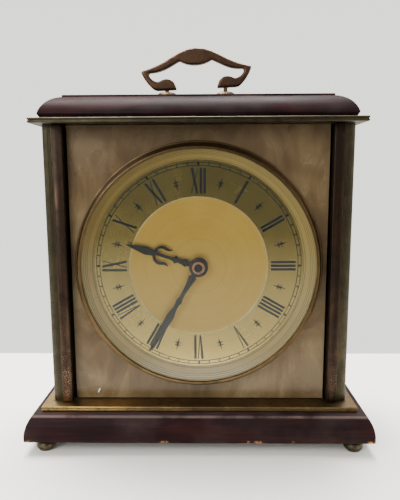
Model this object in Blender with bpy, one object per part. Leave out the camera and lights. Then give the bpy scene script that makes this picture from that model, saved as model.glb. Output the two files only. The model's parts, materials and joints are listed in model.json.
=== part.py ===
"""Mantel clock: dark wood base and top, brass plates and pillars, marbled front, battery movement.

Sizes below are millimetres; the mesh helpers turn them into metres. The origin is on the floor
under the middle of the clock, +X is to the right of a person who reads the dial, the dial faces
-Y and +Z is up.
"""

import math

import bmesh
import bpy
from mathutils import Vector

MM = 0.001
GAP = 0.3  # left wherever two pieces touch
RUN = 0.12  # running clearance of a shaft in its hole
ROUND = 48  # sides of the large round pieces

# Screws
SCREW_R = 1.4
SCREW_HEAD_R = 2.8
SCREW_HEAD_H = 1.4
SCREW_BITE = 12.0
SCREW_SINK = 0.8  # how deep a head lies under the base

# Dial and bezel
DIAL_R = 59.6  # the part of the dial that shows
FUNNEL_W = 5.3  # how far the gilt reflector widens towards the glass
FUNNEL_DEPTH = 8.2
BEZEL_WALL = 4.8  # from the reflector's wide end to the bezel's foot
CENTRE_DISC_R = 39.4
GLASS_T = 1.2
DIAL_T = 0.8
DIAL_SET_BACK = 2.0  # from the marbled panel's face to the dial's
SKIRT_T = 1.0  # the part of the bezel that passes through the panel
LIP_T, LIP_LAP = 0.4, 0.4  # the bezel's lip in front of the glass
REFLECTOR_T = 0.7
DISC_PROUD = 0.9  # the centre disc's face in front of the dial's
NUT_T = 1.4  # of the nut that holds the movement
HAND_NUT_R = 3.6
HAND_NUT_T = 1.0
HOUR_HAND_OUT = 3.6  # from the dial's face to the front of each hand
MINUTE_HAND_OUT = 6.6

# Front
PANEL_SIDE = 2.2  # marbled panel beyond the bezel, at each side
PANEL_END = 8.4  # and above and below
PANEL_T = 4.0
PILLAR_SEAM = 1.1  # dark gap between the panel and the pillar strip
STRIP_W = 5.5
STRIP_T = 2.0
PILLAR_ROUND = 6.0
PILLAR_FLAT = 0.9
PILLAR_BACK = 10.0  # from the strip's back to the pillar's back
PANEL_SET_BACK = 5.85  # from the strip's face to the panel's face
FLANGE = 5.0  # the part of the pillar that the panel is seated on

# Case
CASE_D = 57.7
SIDE_T = 4.0
SIDE_SET_IN = 1.0
BACK_T = 3.0
PLATE_T = 2.7
PLATE_LIP_X = 3.8
PLATE_LIP_Y = 5.9

# Base, feet and top
FOOT_R = 5.5
FOOT_H = 6.7
FOOT_INSET_X, FOOT_INSET_Y = 10.2, 8.0
BASE_T = 14.6
BASE_LIP_X = 8.3  # beyond the brass plate
BASE_LIP_Y = 8.25
BASE_SQUARE = 2.5  # upright edge under the moulding
BASE_MOULD_R = 18.8
TOP_INSET = 3.9  # top board inside the brass plate
TOP_UNDERCUT = 1.3  # the lower edge is cut back this far
TOP_STEP = 2.1  # height of the board's widest line
TOP_MOULD_R = 14.1
TOP_MOULD_START, TOP_MOULD_END = 15.5, 78.6  # degrees of the moulding's arc
TOP_PANEL_H = 1.1

# Handle
STEM_SPAN = 33.9
STEM_R = 1.15
HANDLE_OFF_CENTRE = -1.3
HANDLE_T = 4.6
HANDLE_LIFT = 5.9  # underside of the scrolls above the top board
HANDLE_UNDER = 10.5  # from the handle's middle down to the underside of its scrolls
HANDLE_TILT = 2.4  # degrees: the right-hand screw has worked up
STEM_BITE = 3.4  # how far a screw ends inside the scroll
ROSETTE_R = 7.0
ROSETTE_H = 3.6

# Rear door
DOOR_W = 96.0
DOOR_H = 98.0
DOOR_T = 2.0
DOOR_LAP = 4.0
HINGE_L = 58.0
HINGE_R = 1.5
HINGE_PIN_R = 0.7
LEAF_T = 0.8
LEAF_W = 10.0
KNOB_R = 4.0
KNOB_STEM_R = 1.6
KNOB_H = 5.6

# Movement
BATTERY_L = 50.5
BATTERY_D = 14.2
CONTACT_ROOM = 2.6
MOVEMENT_WALL = 1.5
BAY_FLOOR_T = 0.8
LID_T = 1.3
TRAIN_MODULE = 0.25
WHEEL_T = 0.8
MOTION_WHEEL_T = 1.0
ARBOR_R = 0.5
SETTING_ARBOR_R = 0.8
ARBOR_ROOM = 0.6125  # from the centre wheel's teeth to the setting arbor
TAIL_R = 0.9  # the cannon's rear pivot, which carries the centre wheel
WASHER_ROOM = 2.2  # from the dial's face to the movement
WASHER_R = 9.0
MAGNET_R = 2.5
STATOR_BACK = 7.4  # from the movement's front to the stator
STATOR_T = 0.8
STATOR_GAP = 0.6  # round the magnet
STATOR_REACH = 5.3  # from the rotor to the stator's right-hand edge
COIL_R = 3.1
COIL_L = 16.6
COIL_FLANGE_T = 1.0
CORE_W, CORE_T = 2.0, 0.8
BOARD_H = 14.5
CRYSTAL_R, CRYSTAL_L = 1.5, 8.0
CONTACT_T = 0.4
CANNON_R = 1.8
HOUR_TUBE_WALL = 0.95
BOSS_WALL = 1.0
SET_KNOB_R = 5.5

# Hands
HOUR_LENGTH = 42.3
MINUTE_LENGTH = 54.8
HUB_R = 5.3
HAND_T = 0.5
HOUR_ANGLE = 287.5  # clockwise from twelve: twenty-five to ten
MINUTE_ANGLE = 210.0

TEETH = {"third": 60, "fourth": 48, "fifth": 40, "centre": 64, "leaf": 8,
         "cannon": 12, "motion": 36, "motion_pinion": 10, "hour": 40}

# Places that follow from the sizes
GLASS_R = DIAL_R + FUNNEL_W + 0.3
BEZEL_R = DIAL_R + FUNNEL_W + BEZEL_WALL
PANEL_W = BEZEL_R + PANEL_SIDE  # half widths from here on
PILLAR_IN = PANEL_W + PILLAR_SEAM
STRIP_OUT = PILLAR_IN + STRIP_W
CASE_W = STRIP_OUT + PILLAR_FLAT + PILLAR_ROUND
HALF_D = CASE_D / 2
PLATE_W = CASE_W + PLATE_LIP_X
PLATE_D = HALF_D + PLATE_LIP_Y
BASE_W = PLATE_W + BASE_LIP_X
BASE_D = PLATE_D + BASE_LIP_Y

Z_BASE = FOOT_H + GAP
Z_BASE_PLATE = Z_BASE + BASE_T + GAP
Z_FLOOR = Z_BASE_PLATE + PLATE_T + GAP
CASE_H = 2 * (BEZEL_R + PANEL_END)
Z_CEILING = Z_FLOOR + CASE_H
Z_TOP_PLATE = Z_CEILING + GAP
Z_TOP = Z_TOP_PLATE + PLATE_T + GAP
TOP_MOULD_RISE = TOP_MOULD_R * (math.sin(math.radians(TOP_MOULD_END))
                                - math.sin(math.radians(TOP_MOULD_START)))
Z_TOP_FACE = Z_TOP + TOP_STEP + TOP_MOULD_RISE + TOP_PANEL_H
Z_DIAL = (Z_FLOOR + Z_CEILING) / 2

Y_STRIP = -HALF_D
Y_PANEL = Y_STRIP + PANEL_SET_BACK
Y_PILLAR_BACK = Y_STRIP + STRIP_T + PILLAR_BACK
Y_DIAL = Y_PANEL + DIAL_SET_BACK
Y_GLASS = Y_DIAL - GAP - FUNNEL_DEPTH - GAP - GLASS_T
Y_BACK = HALF_D
Y_MOVEMENT = Y_DIAL + WASHER_ROOM
INSIDE_FRONT = Y_MOVEMENT + LID_T + GAP
BATTERY_Y = INSIDE_FRONT + BAY_FLOOR_T + GAP + BATTERY_D / 2
Y_MOVEMENT_BACK = BATTERY_Y + BATTERY_D / 2 + 0.1
INSIDE_BACK = Y_MOVEMENT_BACK - MOVEMENT_WALL

HOUR_TUBE_R = CANNON_R + RUN + HOUR_TUBE_WALL
BOSS_R = HOUR_TUBE_R + RUN + BOSS_WALL
Y_NUT = Y_DIAL - DISC_PROUD - GAP - NUT_T
Y_BOSS = Y_NUT - 0.1
Y_HOUR_HAND = Y_DIAL - HOUR_HAND_OUT
Y_MINUTE_HAND = Y_DIAL - MINUTE_HAND_OUT

BAY_HALF = BATTERY_L / 2 + CONTACT_ROOM


# ---------------------------------------------------------------- materials

FINISHES = {
    # name: (colour, roughness, metallic)
    "dark_wood": ((0.045, 0.022, 0.018), 0.3, 0.0),
    "aged_brass": ((0.16, 0.12, 0.06), 0.45, 0.9),
    "worn_brass": ((0.42, 0.28, 0.1), 0.4, 0.9),
    "marbled_panel": ((0.33, 0.25, 0.16), 0.3, 0.0),
    "bronze": ((0.11, 0.06, 0.035), 0.45, 0.8),
    "bright_brass": ((0.75, 0.55, 0.25), 0.25, 1.0),
    "gilt": ((0.7, 0.56, 0.28), 0.35, 0.8),
    "hand_black": ((0.01, 0.01, 0.012), 0.4, 0.0),
    "copper_brass": ((0.6, 0.33, 0.16), 0.3, 1.0),
    "clear_glass": ((0.9, 0.95, 0.95), 0.05, 0.0),
    "black_plastic": ((0.02, 0.02, 0.022), 0.5, 0.0),
    "pale_plastic": ((0.75, 0.74, 0.7), 0.5, 0.0),
    "steel": ((0.5, 0.5, 0.5), 0.35, 1.0),
    "rubber": ((0.02, 0.02, 0.02), 0.9, 0.0),
    "copper_wire": ((0.5, 0.2, 0.08), 0.35, 1.0),
    "board_green": ((0.03, 0.14, 0.06), 0.5, 0.0),
    "battery_label": ((0.08, 0.1, 0.14), 0.35, 0.0),
    "back_board": ((0.06, 0.035, 0.025), 0.6, 0.0),
}


def finish(name):
    material = bpy.data.materials.get(name)
    if material is None:
        colour, roughness, metallic = FINISHES[name]
        material = bpy.data.materials.new(name)
        material.use_nodes = True
        shader = material.node_tree.nodes["Principled BSDF"]
        shader.inputs["Base Color"].default_value = (*colour, 1)
        shader.inputs["Roughness"].default_value = roughness
        shader.inputs["Metallic"].default_value = metallic
    return material


# ---------------------------------------------------------------- mesh helpers


def add_mesh(name, points, faces, look, pivot=(0, 0, 0), smooth=False):
    """An object from points in millimetres, with its origin at the pivot."""
    mesh = bpy.data.meshes.new(name)
    pivot = Vector(pivot)
    mesh.from_pydata([(Vector(point) - pivot) * MM for point in points], [], faces)
    shape = bmesh.new()
    shape.from_mesh(mesh)
    bmesh.ops.recalc_face_normals(shape, faces=shape.faces)
    shape.to_mesh(mesh)
    shape.free()
    if smooth:
        mesh.shade_smooth()
        mesh.set_sharp_from_angle(angle=math.radians(35))
    mesh.materials.append(finish(look))
    thing = bpy.data.objects.new(name, mesh)
    thing.location = pivot * MM
    bpy.context.scene.collection.objects.link(thing)
    return thing


def stack(name, rings, look, pivot=(0, 0, 0), smooth=False):
    """A closed skin over rings of equally many points, with a flat cap at each end."""
    count = len(rings[0])
    points = [point for ring in rings for point in ring]
    faces = [tuple(range(count)), tuple(range(len(points) - count, len(points)))]
    for row in range(len(rings) - 1):
        for k in range(count):
            a, b = row * count + k, row * count + (k + 1) % count
            faces.append((a, b, b + count, a + count))
    return add_mesh(name, points, faces, look, pivot, smooth)


def block(name, xs, ys, zs, look, pivot=(0, 0, 0)):
    (x0, x1), (y0, y1), (z0, z1) = xs, ys, zs
    rings = [[(x0, y0, z), (x1, y0, z), (x1, y1, z), (x0, y1, z)] for z in (z0, z1)]
    return stack(name, rings, look, pivot)


def prism_y(name, outline, front, back, look, pivot=(0, 0, 0)):
    """An outline in X and Z, extruded along Y."""
    rings = [[(x, y, z) for x, z in outline] for y in (front, back)]
    return stack(name, rings, look, pivot)


def prism_z(name, outline, low, high, look):
    """An outline in X and Y, extruded along Z."""
    return stack(name, [[(x, y, z) for x, y in outline] for z in (low, high)], look)


def turned(name, profile, place, look, axis="Y", sides=24, pivot=None, ring=False):
    """Revolves (radius, distance) points about an axis through the place.

    A profile that starts and ends on the axis makes a solid; ring=True closes it on itself.
    """
    def at(radius, distance, angle):
        c, s = radius * math.cos(angle), radius * math.sin(angle)
        turned_to = {"Y": (c, distance, s), "Z": (c, s, distance), "X": (distance, c, s)}[axis]
        return tuple(a + b for a, b in zip(place, turned_to))

    points, rows = [], []
    for radius, distance in profile:
        if radius == 0:
            rows.append([len(points)] * sides)
            points.append(at(0, distance, 0))
        else:
            rows.append([len(points) + k for k in range(sides)])
            points += [at(radius, distance, math.tau * k / sides) for k in range(sides)]
    faces = []
    for n in range(len(rows) if ring else len(rows) - 1):
        first, second = rows[n], rows[(n + 1) % len(rows)]
        for k in range(sides):
            corners = (first[k], first[(k + 1) % sides], second[(k + 1) % sides], second[k])
            face = tuple(dict.fromkeys(corners))
            if len(face) > 2:
                faces.append(face)
    return add_mesh(name, points, faces, look, pivot or (0, 0, 0), smooth=True)


def rod(name, radius, place, start, end, look, axis="Y", sides=16, pivot=None):
    profile = [(0, start), (radius, start), (radius, end), (0, end)]
    return turned(name, profile, place, look, axis, sides, pivot)


def washer(name, outer, inner, place, start, end, look, axis="Y", sides=24, pivot=None):
    profile = [(inner, start), (outer, start), (outer, end), (inner, end)]
    return turned(name, profile, place, look, axis, sides, pivot, ring=True)


def boolean(target, tool, operation):
    tool.hide_render = True
    tool.display_type = "WIRE"
    modifier = target.modifiers.new(tool.name, "BOOLEAN")
    modifier.operation = operation
    modifier.object = tool


def cut(target, *tools):
    for tool in tools:
        boolean(target, tool, "DIFFERENCE")


def join(target, *tools):
    for tool in tools:
        boolean(target, tool, "UNION")


def arc(centre, radius, start, end, steps):
    """Points from the start angle to the end angle, in degrees."""
    angles = [math.radians(start + (end - start) * k / steps) for k in range(steps + 1)]
    return [(centre[0] + radius * math.cos(a), centre[1] + radius * math.sin(a)) for a in angles]


# ---------------------------------------------------------------- wooden boards, plates and feet


def moulded_board(name, half_x, half_y, profile, look):
    """A board whose edge follows (inset, height) points all the way round, mitred at the corners."""
    rings = []
    for inset, z in profile:
        x, y = half_x - inset, half_y - inset
        rings.append([(-x, -y, z), (x, -y, z), (x, y, z), (-x, y, z)])
    return stack(name, rings, look)


def base_board():
    low = Z_BASE + BASE_SQUARE
    rise = Z_BASE + BASE_T - low
    profile = [(0.6, Z_BASE), (0, Z_BASE + 0.6)]
    for k in range(8):
        height = rise * k / 7
        profile.append((BASE_MOULD_R - math.sqrt(BASE_MOULD_R**2 - height**2), low + height))
    board = moulded_board("base_board", BASE_W, BASE_D, profile, "dark_wood")
    for side in (-1, 1):
        hole = rod("base_screw_hole", SCREW_R + GAP, (side * PILLAR_SCREW_X, PILLAR_SCREW_Y, 0),
                   Z_BASE - 1, Z_BASE_PLATE, "dark_wood", "Z", 12)
        sink = rod("base_screw_sink", SCREW_HEAD_R + GAP, (side * PILLAR_SCREW_X, PILLAR_SCREW_Y, 0),
                   Z_BASE - 1, Z_BASE + SCREW_SINK + SCREW_HEAD_H, "dark_wood", "Z", 12)
        cut(board, hole, sink)


def brass_plate(name, low, look, holes):
    """Both plates have a fine groove along their edge, which leaves two thin brass lines."""
    lip, groove = 0.25, 0.35
    third = PLATE_T / 3
    profile = [(lip, low), (0, low + lip), (0, low + third), (groove, low + third + 0.15),
               (groove, low + 2 * third - 0.15), (0, low + 2 * third),
               (0, low + PLATE_T - lip), (lip, low + PLATE_T)]
    plate = moulded_board(name, PLATE_W, PLATE_D, profile, look)
    for x, y, radius in holes:
        place = (x, y, 0)
        cut(plate, rod(f"{name}_hole", radius + GAP, place, low - 1, low + PLATE_T + 1, look, "Z", 12))


def top_board():
    edge = 0.2
    moulding = arc((0, 0), TOP_MOULD_R, TOP_MOULD_START, TOP_MOULD_END, 8)
    start_x, start_z = moulding[0]
    profile = [(TOP_UNDERCUT, Z_TOP)]
    profile += [(start_x - x, Z_TOP + TOP_STEP + z - start_z) for x, z in moulding]
    reach = profile[-1][0]
    profile += [(reach + edge / 2, Z_TOP_FACE - edge), (reach + 1.5 * edge, Z_TOP_FACE)]
    board = moulded_board("top_board", PLATE_W - TOP_INSET, PLATE_D - TOP_INSET, profile, "dark_wood")
    for side in (-1, 1):
        stem = (HANDLE_OFF_CENTRE + side * STEM_SPAN / 2, 0, 0)
        sink = (side * PILLAR_SCREW_X, PILLAR_SCREW_Y, 0)
        cut(board,
            rod("stem_hole", STEM_R + GAP, stem, Z_TOP - 1, Z_TOP_FACE + 1, "dark_wood", "Z", 12),
            rod("head_room", SCREW_HEAD_R + 2 * GAP, sink, Z_TOP - 1, Z_TOP + SCREW_HEAD_H + GAP,
                "dark_wood", "Z", 12))


def feet():
    for side_y, end in ((-1, "front"), (1, "rear")):
        for side_x, hand in ((-1, "left"), (1, "right")):
            place = (side_x * (BASE_W - FOOT_INSET_X), side_y * (BASE_D - FOOT_INSET_Y), 0)
            belly = FOOT_H * 0.55
            profile = [(0, 0), (FOOT_R * 0.7, 0), (FOOT_R * 0.93, belly * 0.35), (FOOT_R, belly),
                       (FOOT_R * 0.9, FOOT_H * 0.85), (FOOT_R * 0.75, FOOT_H), (0, FOOT_H)]
            turned(f"foot_{end}_{hand}", profile, place, "bronze", "Z", 20)


# ---------------------------------------------------------------- front, pillars, sides and screws

PILLAR_SCREW_X = PILLAR_IN + (CASE_W - PILLAR_IN) / 2
PILLAR_SCREW_Y = Y_PILLAR_BACK - PILLAR_BACK / 2


def pillars():
    for side, hand in ((-1, "left"), (1, "right")):
        front = Y_STRIP + STRIP_T + GAP
        shoulder = front - 0.8
        seat = Y_PANEL + PANEL_T + GAP
        corner = (CASE_W - PILLAR_ROUND, shoulder + PILLAR_ROUND)
        outline = [(PILLAR_IN, front), (STRIP_OUT + GAP, front), (STRIP_OUT + GAP, shoulder)]
        outline += arc(corner, PILLAR_ROUND, -90, 0, 6)
        outline += [(CASE_W, Y_PILLAR_BACK), (PANEL_W - FLANGE, Y_PILLAR_BACK),
                    (PANEL_W - FLANGE, seat), (PILLAR_IN, seat)]
        pillar = prism_z(f"pillar_{hand}", [(side * x, y) for x, y in outline],
                         Z_FLOOR, Z_CEILING, "aged_brass")
        place = (side * PILLAR_SCREW_X, PILLAR_SCREW_Y, 0)
        bite = SCREW_BITE + GAP
        cut(pillar,
            rod("low_thread", SCREW_R + GAP, place, Z_FLOOR - 1, Z_FLOOR + bite, "aged_brass", "Z", 12),
            rod("high_thread", SCREW_R + GAP, place, Z_CEILING - bite, Z_CEILING + 1, "aged_brass", "Z", 12))
        pillar_strip(side, hand)
        pillar_screws(hand, place)


def pillar_strip(side, hand):
    bevel = 0.4
    outline = [(PILLAR_IN, Y_STRIP + STRIP_T), (PILLAR_IN, Y_STRIP + bevel), (PILLAR_IN + bevel, Y_STRIP),
               (STRIP_OUT - bevel, Y_STRIP), (STRIP_OUT, Y_STRIP + bevel), (STRIP_OUT, Y_STRIP + STRIP_T)]
    prism_z(f"pillar_strip_{hand}", [(side * x, y) for x, y in outline], Z_FLOOR, Z_CEILING, "bronze")


def pillar_screws(hand, place):
    low = Z_BASE + SCREW_SINK
    profile = [(0, low), (SCREW_HEAD_R, low), (SCREW_HEAD_R, low + SCREW_HEAD_H),
               (SCREW_R, low + SCREW_HEAD_H), (SCREW_R, Z_FLOOR + SCREW_BITE), (0, Z_FLOOR + SCREW_BITE)]
    turned(f"base_screw_{hand}", profile, place, "steel", "Z", 12)
    low = Z_TOP
    profile = [(0, Z_CEILING - SCREW_BITE), (SCREW_R, Z_CEILING - SCREW_BITE), (SCREW_R, low),
               (SCREW_HEAD_R, low), (SCREW_HEAD_R, low + SCREW_HEAD_H), (0, low + SCREW_HEAD_H)]
    turned(f"top_screw_{hand}", profile, place, "steel", "Z", 12)


def front_panel():
    panel = block("front_panel", (-PANEL_W, PANEL_W), (Y_PANEL, Y_PANEL + PANEL_T),
                  (Z_FLOOR, Z_CEILING), "marbled_panel")
    cut(panel, rod("dial_hole", GLASS_R + 2 * GAP + SKIRT_T + GAP, (0, 0, Z_DIAL),
                   Y_PANEL - 1, Y_PANEL + PANEL_T + 1, "marbled_panel", sides=ROUND))


def side_panels():
    outer = CASE_W - SIDE_SET_IN
    for side, hand in ((-1, "left"), (1, "right")):
        xs = sorted((side * (outer - SIDE_T), side * outer))
        block(f"side_panel_{hand}", xs, (Y_PILLAR_BACK + GAP, Y_BACK), (Z_FLOOR, Z_CEILING), "dark_wood")


# ---------------------------------------------------------------- rear panel and door

BACK_HALF_W = CASE_W - SIDE_SET_IN - SIDE_T - GAP
Y_DOOR = Y_BACK + GAP
HINGE_X = -DOOR_W / 2 - HINGE_R
HINGE_Y = Y_DOOR + DOOR_T + GAP + LEAF_T
HINGE_LINE = (HINGE_X, HINGE_Y, Z_DIAL)
KNUCKLE = HINGE_L / 4


def rear_panel():
    panel = block("rear_panel", (-BACK_HALF_W, BACK_HALF_W), (Y_BACK - BACK_T, Y_BACK),
                  (Z_FLOOR, Z_CEILING), "back_board")
    half_w, half_h = DOOR_W / 2 - DOOR_LAP, DOOR_H / 2 - DOOR_LAP
    cut(panel, block("access_hole", (-half_w, half_w), (Y_BACK - BACK_T - 1, Y_BACK + 1),
                     (Z_DIAL - half_h, Z_DIAL + half_h), "back_board"))


def rear_door():
    edge = 0.4
    half_w, half_h = DOOR_W / 2, DOOR_H / 2
    rings = []
    for y, inset in ((Y_DOOR, 0), (Y_DOOR + DOOR_T - edge, 0), (Y_DOOR + DOOR_T, edge)):
        w, h = half_w - inset, half_h - inset
        rings.append([(-w, y, Z_DIAL - h), (w, y, Z_DIAL - h), (w, y, Z_DIAL + h), (-w, y, Z_DIAL + h)])
    return stack("rear_door", rings, "back_board", HINGE_LINE)


def knuckle(name, low, high, look):
    bore = HINGE_PIN_R + RUN
    return turned(name, [(bore, low), (HINGE_R, low), (HINGE_R, high), (bore, high)],
                  (HINGE_X, HINGE_Y, Z_DIAL), look, "Z", 16, HINGE_LINE, ring=True)


def door_hinge():
    """One long hinge: the case leaf has the outer knuckles, the door leaf the middle one."""
    look = "worn_brass"
    end, inner = HINGE_L / 2, HINGE_L / 2 - KNUCKLE
    web = HINGE_PIN_R + RUN + 0.1
    case_outline = [(HINGE_X - LEAF_W, Y_DOOR), (HINGE_X - web, Y_DOOR), (HINGE_X - web, HINGE_Y),
                    (HINGE_X - web - LEAF_T + 0.2, HINGE_Y), (HINGE_X - web - LEAF_T + 0.2, Y_DOOR + LEAF_T),
                    (HINGE_X - LEAF_W, Y_DOOR + LEAF_T)]
    leaf = prism_z("hinge_case_leaf", case_outline, Z_DIAL - end, Z_DIAL + end, look)
    cut(leaf, block("case_leaf_notch", (HINGE_X - HINGE_R - GAP, HINGE_X + 5), (Y_DOOR - 1, HINGE_Y + 5),
                    (Z_DIAL - inner - GAP / 2, Z_DIAL + inner + GAP / 2), look))
    join(leaf, knuckle("low_knuckle", -end, -inner - GAP / 2, look),
         knuckle("high_knuckle", inner + GAP / 2, end, look))
    back = Y_DOOR + DOOR_T + GAP
    door_outline = [(HINGE_X + web, back), (HINGE_X + LEAF_W, back), (HINGE_X + LEAF_W, back + LEAF_T),
                    (HINGE_X + web, back + LEAF_T)]
    rings = [[(x, y, Z_DIAL + s * (inner - GAP / 2)) for x, y in door_outline] for s in (-1, 1)]
    door_leaf = stack("hinge_door_leaf", rings, look, HINGE_LINE)
    join(door_leaf, knuckle("middle_knuckle", -inner + GAP / 2, inner - GAP / 2, look))
    rod("hinge_pin", HINGE_PIN_R, HINGE_LINE, -end - 0.6, end + 0.6, "steel", "Z", 16)
    return door_leaf


def door_knob():
    low = Y_DOOR + DOOR_T + GAP
    high = low + KNOB_H
    profile = [(0, low), (KNOB_STEM_R, low), (KNOB_STEM_R, low + 2.2), (KNOB_R, low + 3.4),
               (KNOB_R, high - 1.0), (KNOB_R * 0.6, high), (0, high)]
    place = (DOOR_W / 2 - 2 * KNOB_R, 0, Z_DIAL)
    return turned("door_knob", profile, place, "bright_brass", sides=20, pivot=HINGE_LINE)


def hang_door(pieces):
    hinge = bpy.data.objects.new("door_hinge_axis", None)
    hinge.location = Vector(HINGE_LINE) * MM
    bpy.context.scene.collection.objects.link(hinge)
    for piece in pieces:
        piece.parent = hinge
        piece.location = (0, 0, 0)


# ---------------------------------------------------------------- handle


def handle_outline():
    """Right half of the outline, from the crown down the outside and back up the inside.

    Each row is a point (x, z) and the two bezier handles on its sides.
    """
    return [
        ((0, 12.2), (-7, 12.2), (7, 12.2)),
        ((17.6, 5.7), (12.0, 8.7), (22.6, 3.1)),
        ((31.0, 0.9), (27.2, 1.8), (31.7, 0.7)),
        ((31.6, -0.6), (32.0, 0.3), (31.3, -1.8)),
        ((26.4, -8.5), (29.3, -5.6), (24.7, -10.2)),
        ((21.6, -10.5), (23.6, -10.5), (18.4, -10.5)),
        ((11.9, -10.5), (15.0, -10.5), (11.6, -10.3)),
        ((12.2, -8.6), (11.7, -9.6), (12.9, -5.8)),
        ((17.4, -4.2), (14.7, -4.2), (19.8, -4.2)),
        ((22.3, -5.7), (20.9, -5.2), (24.2, -5.3)),
        ((27.2, -2.2), (26.3, -4.4), (27.6, -1.3)),
        ((26.6, -0.5), (27.6, -0.6), (24.4, -0.4)),
        ((17.4, 1.3), (21.4, -0.4), (13.6, 3.0)),
        ((9.3, 5.3), (10.6, 4.7), (6.8, 3.7)),
        ((0, 2.8), (3.6, 2.8), (-3.6, 2.8)),
    ]


def handle():
    """A flat casting: the scroll ends stand on two screws, over domed rosettes."""
    half = handle_outline()
    rows = list(half)
    for place, before, after in reversed(half[1:-1]):
        rows.append([(-x, z) for x, z in (place, after, before)])
    curve = bpy.data.curves.new("handle_line", "CURVE")
    curve.dimensions = "2D"
    curve.fill_mode = "BOTH"
    curve.resolution_u = 4
    bevel = 0.7
    curve.extrude = (HANDLE_T / 2 - bevel) * MM
    curve.bevel_depth = bevel * MM
    curve.bevel_resolution = 0
    curve.offset = -bevel * MM
    spline = curve.splines.new("BEZIER")
    spline.bezier_points.add(len(rows) - 1)
    spline.use_cyclic_u = True
    for point, (place, before, after) in zip(spline.bezier_points, rows):
        point.co = (place[0] * MM, place[1] * MM, 0)
        point.handle_left = (before[0] * MM, before[1] * MM, 0)
        point.handle_right = (after[0] * MM, after[1] * MM, 0)
    flat = bpy.data.objects.new("handle_line", curve)
    mesh = bpy.data.meshes.new_from_object(flat)
    bpy.data.objects.remove(flat)
    mesh.name = "handle"
    finish_handle(mesh)


def finish_handle(mesh):
    """Stands the flat shape up, welds it, leans it and drills it for its two screws."""
    middle = Vector((HANDLE_OFF_CENTRE, 0, Z_TOP_FACE + HANDLE_LIFT + HANDLE_UNDER))
    shape = bmesh.new()
    shape.from_mesh(mesh)
    bmesh.ops.remove_doubles(shape, verts=shape.verts, dist=1e-6)
    lean = math.radians(HANDLE_TILT)
    for vert in shape.verts:
        x, z, y = vert.co.x, vert.co.y, vert.co.z
        vert.co = (x * math.cos(lean) - z * math.sin(lean), y, x * math.sin(lean) + z * math.cos(lean))
    bmesh.ops.recalc_face_normals(shape, faces=shape.faces)
    shape.to_mesh(mesh)
    shape.free()
    mesh.shade_smooth()
    mesh.set_sharp_from_angle(angle=math.radians(40))
    mesh.materials.append(finish("bronze"))
    casting = bpy.data.objects.new("handle", mesh)
    casting.location = middle * MM
    bpy.context.scene.collection.objects.link(casting)
    for side in (-1, 1):
        top = stem_top(side)
        cut(casting, rod("stem_thread", STEM_R + GAP, (HANDLE_OFF_CENTRE + side * STEM_SPAN / 2, 0, 0),
                         top - 6, top + GAP, "bronze", "Z", 12))


def stem_top(side):
    """The height at which a handle screw ends, inside the scroll."""
    rise = side * STEM_SPAN / 2 * math.tan(math.radians(HANDLE_TILT))
    return Z_TOP_FACE + HANDLE_LIFT + rise + STEM_BITE


def handle_screws():
    for side, hand in ((-1, "left"), (1, "right")):
        place = (HANDLE_OFF_CENTRE + side * STEM_SPAN / 2, 0, 0)
        head = Z_TOP_PLATE - GAP
        profile = [(0, head - SCREW_HEAD_H), (SCREW_HEAD_R, head - SCREW_HEAD_H), (SCREW_HEAD_R, head),
                   (STEM_R, head), (STEM_R, stem_top(side)), (0, stem_top(side))]
        turned(f"handle_screw_{hand}", profile, place, "bronze", "Z", 12)
        low = Z_TOP_FACE + GAP
        hole = STEM_R + GAP
        dome = [(hole, low), (ROSETTE_R, low), (ROSETTE_R, low + 0.6)]
        for k in range(1, 5):
            angle = math.pi / 2 * k / 4
            dome.append((hole + 0.8 + (ROSETTE_R - hole - 0.8) * math.cos(angle),
                         low + 0.6 + (ROSETTE_H - 0.6) * math.sin(angle)))
        dome.append((hole, low + ROSETTE_H))
        turned(f"rosette_{hand}", dome, place, "bright_brass", "Z", 20, ring=True)


# ---------------------------------------------------------------- bezel, glass and dial

DIAL_CENTRE = (0, 0, Z_DIAL)


def bezel():
    """The dark ring: a sloping wall outside, a lip over the glass, and a skirt through the panel."""
    glass_edge = GLASS_R + GAP
    front = Y_GLASS - GAP - LIP_T
    foot = Y_PANEL - GAP
    skirt_in = GLASS_R + 2 * GAP
    profile = [(GLASS_R - LIP_LAP, front), (glass_edge + 0.8, front), (glass_edge + 1.3, front + 0.6),
               (BEZEL_R, foot - 0.5), (BEZEL_R, foot), (skirt_in + SKIRT_T, foot),
               (skirt_in + SKIRT_T, Y_DIAL + DIAL_T + 0.8), (skirt_in, Y_DIAL + DIAL_T + 0.8),
               (glass_edge, front + 2.5), (glass_edge, Y_GLASS - GAP), (GLASS_R - LIP_LAP, Y_GLASS - GAP)]
    turned("bezel", profile, DIAL_CENTRE, "bronze", sides=ROUND, ring=True)


def reflector():
    """The gilt funnel between the dial and the glass."""
    wide, narrow = DIAL_R + FUNNEL_W, DIAL_R
    back, front = Y_DIAL - GAP, Y_GLASS + GLASS_T + GAP
    profile = [(narrow, back), (wide - 0.3, front), (wide + 0.2, front), (wide + 0.2, front + 0.4),
               (narrow + REFLECTOR_T, back)]
    turned("reflector", profile, DIAL_CENTRE, "gilt", sides=ROUND, ring=True)


def glass():
    rod("glass", GLASS_R, DIAL_CENTRE, Y_GLASS, Y_GLASS + GLASS_T, "clear_glass", sides=ROUND)


def dial():
    hole = BOSS_R + GAP
    washer("dial_plate", GLASS_R, hole, DIAL_CENTRE, Y_DIAL, Y_DIAL + DIAL_T, "gilt", sides=ROUND)
    front, back = Y_DIAL - DISC_PROUD, Y_DIAL - GAP
    profile = [(hole, front), (CENTRE_DISC_R - 0.5, front), (CENTRE_DISC_R, front + 0.25),
               (CENTRE_DISC_R, back), (hole, back)]
    turned("dial_centre_disc", profile, DIAL_CENTRE, "bright_brass", sides=ROUND, ring=True)


# ---------------------------------------------------------------- hands


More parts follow.
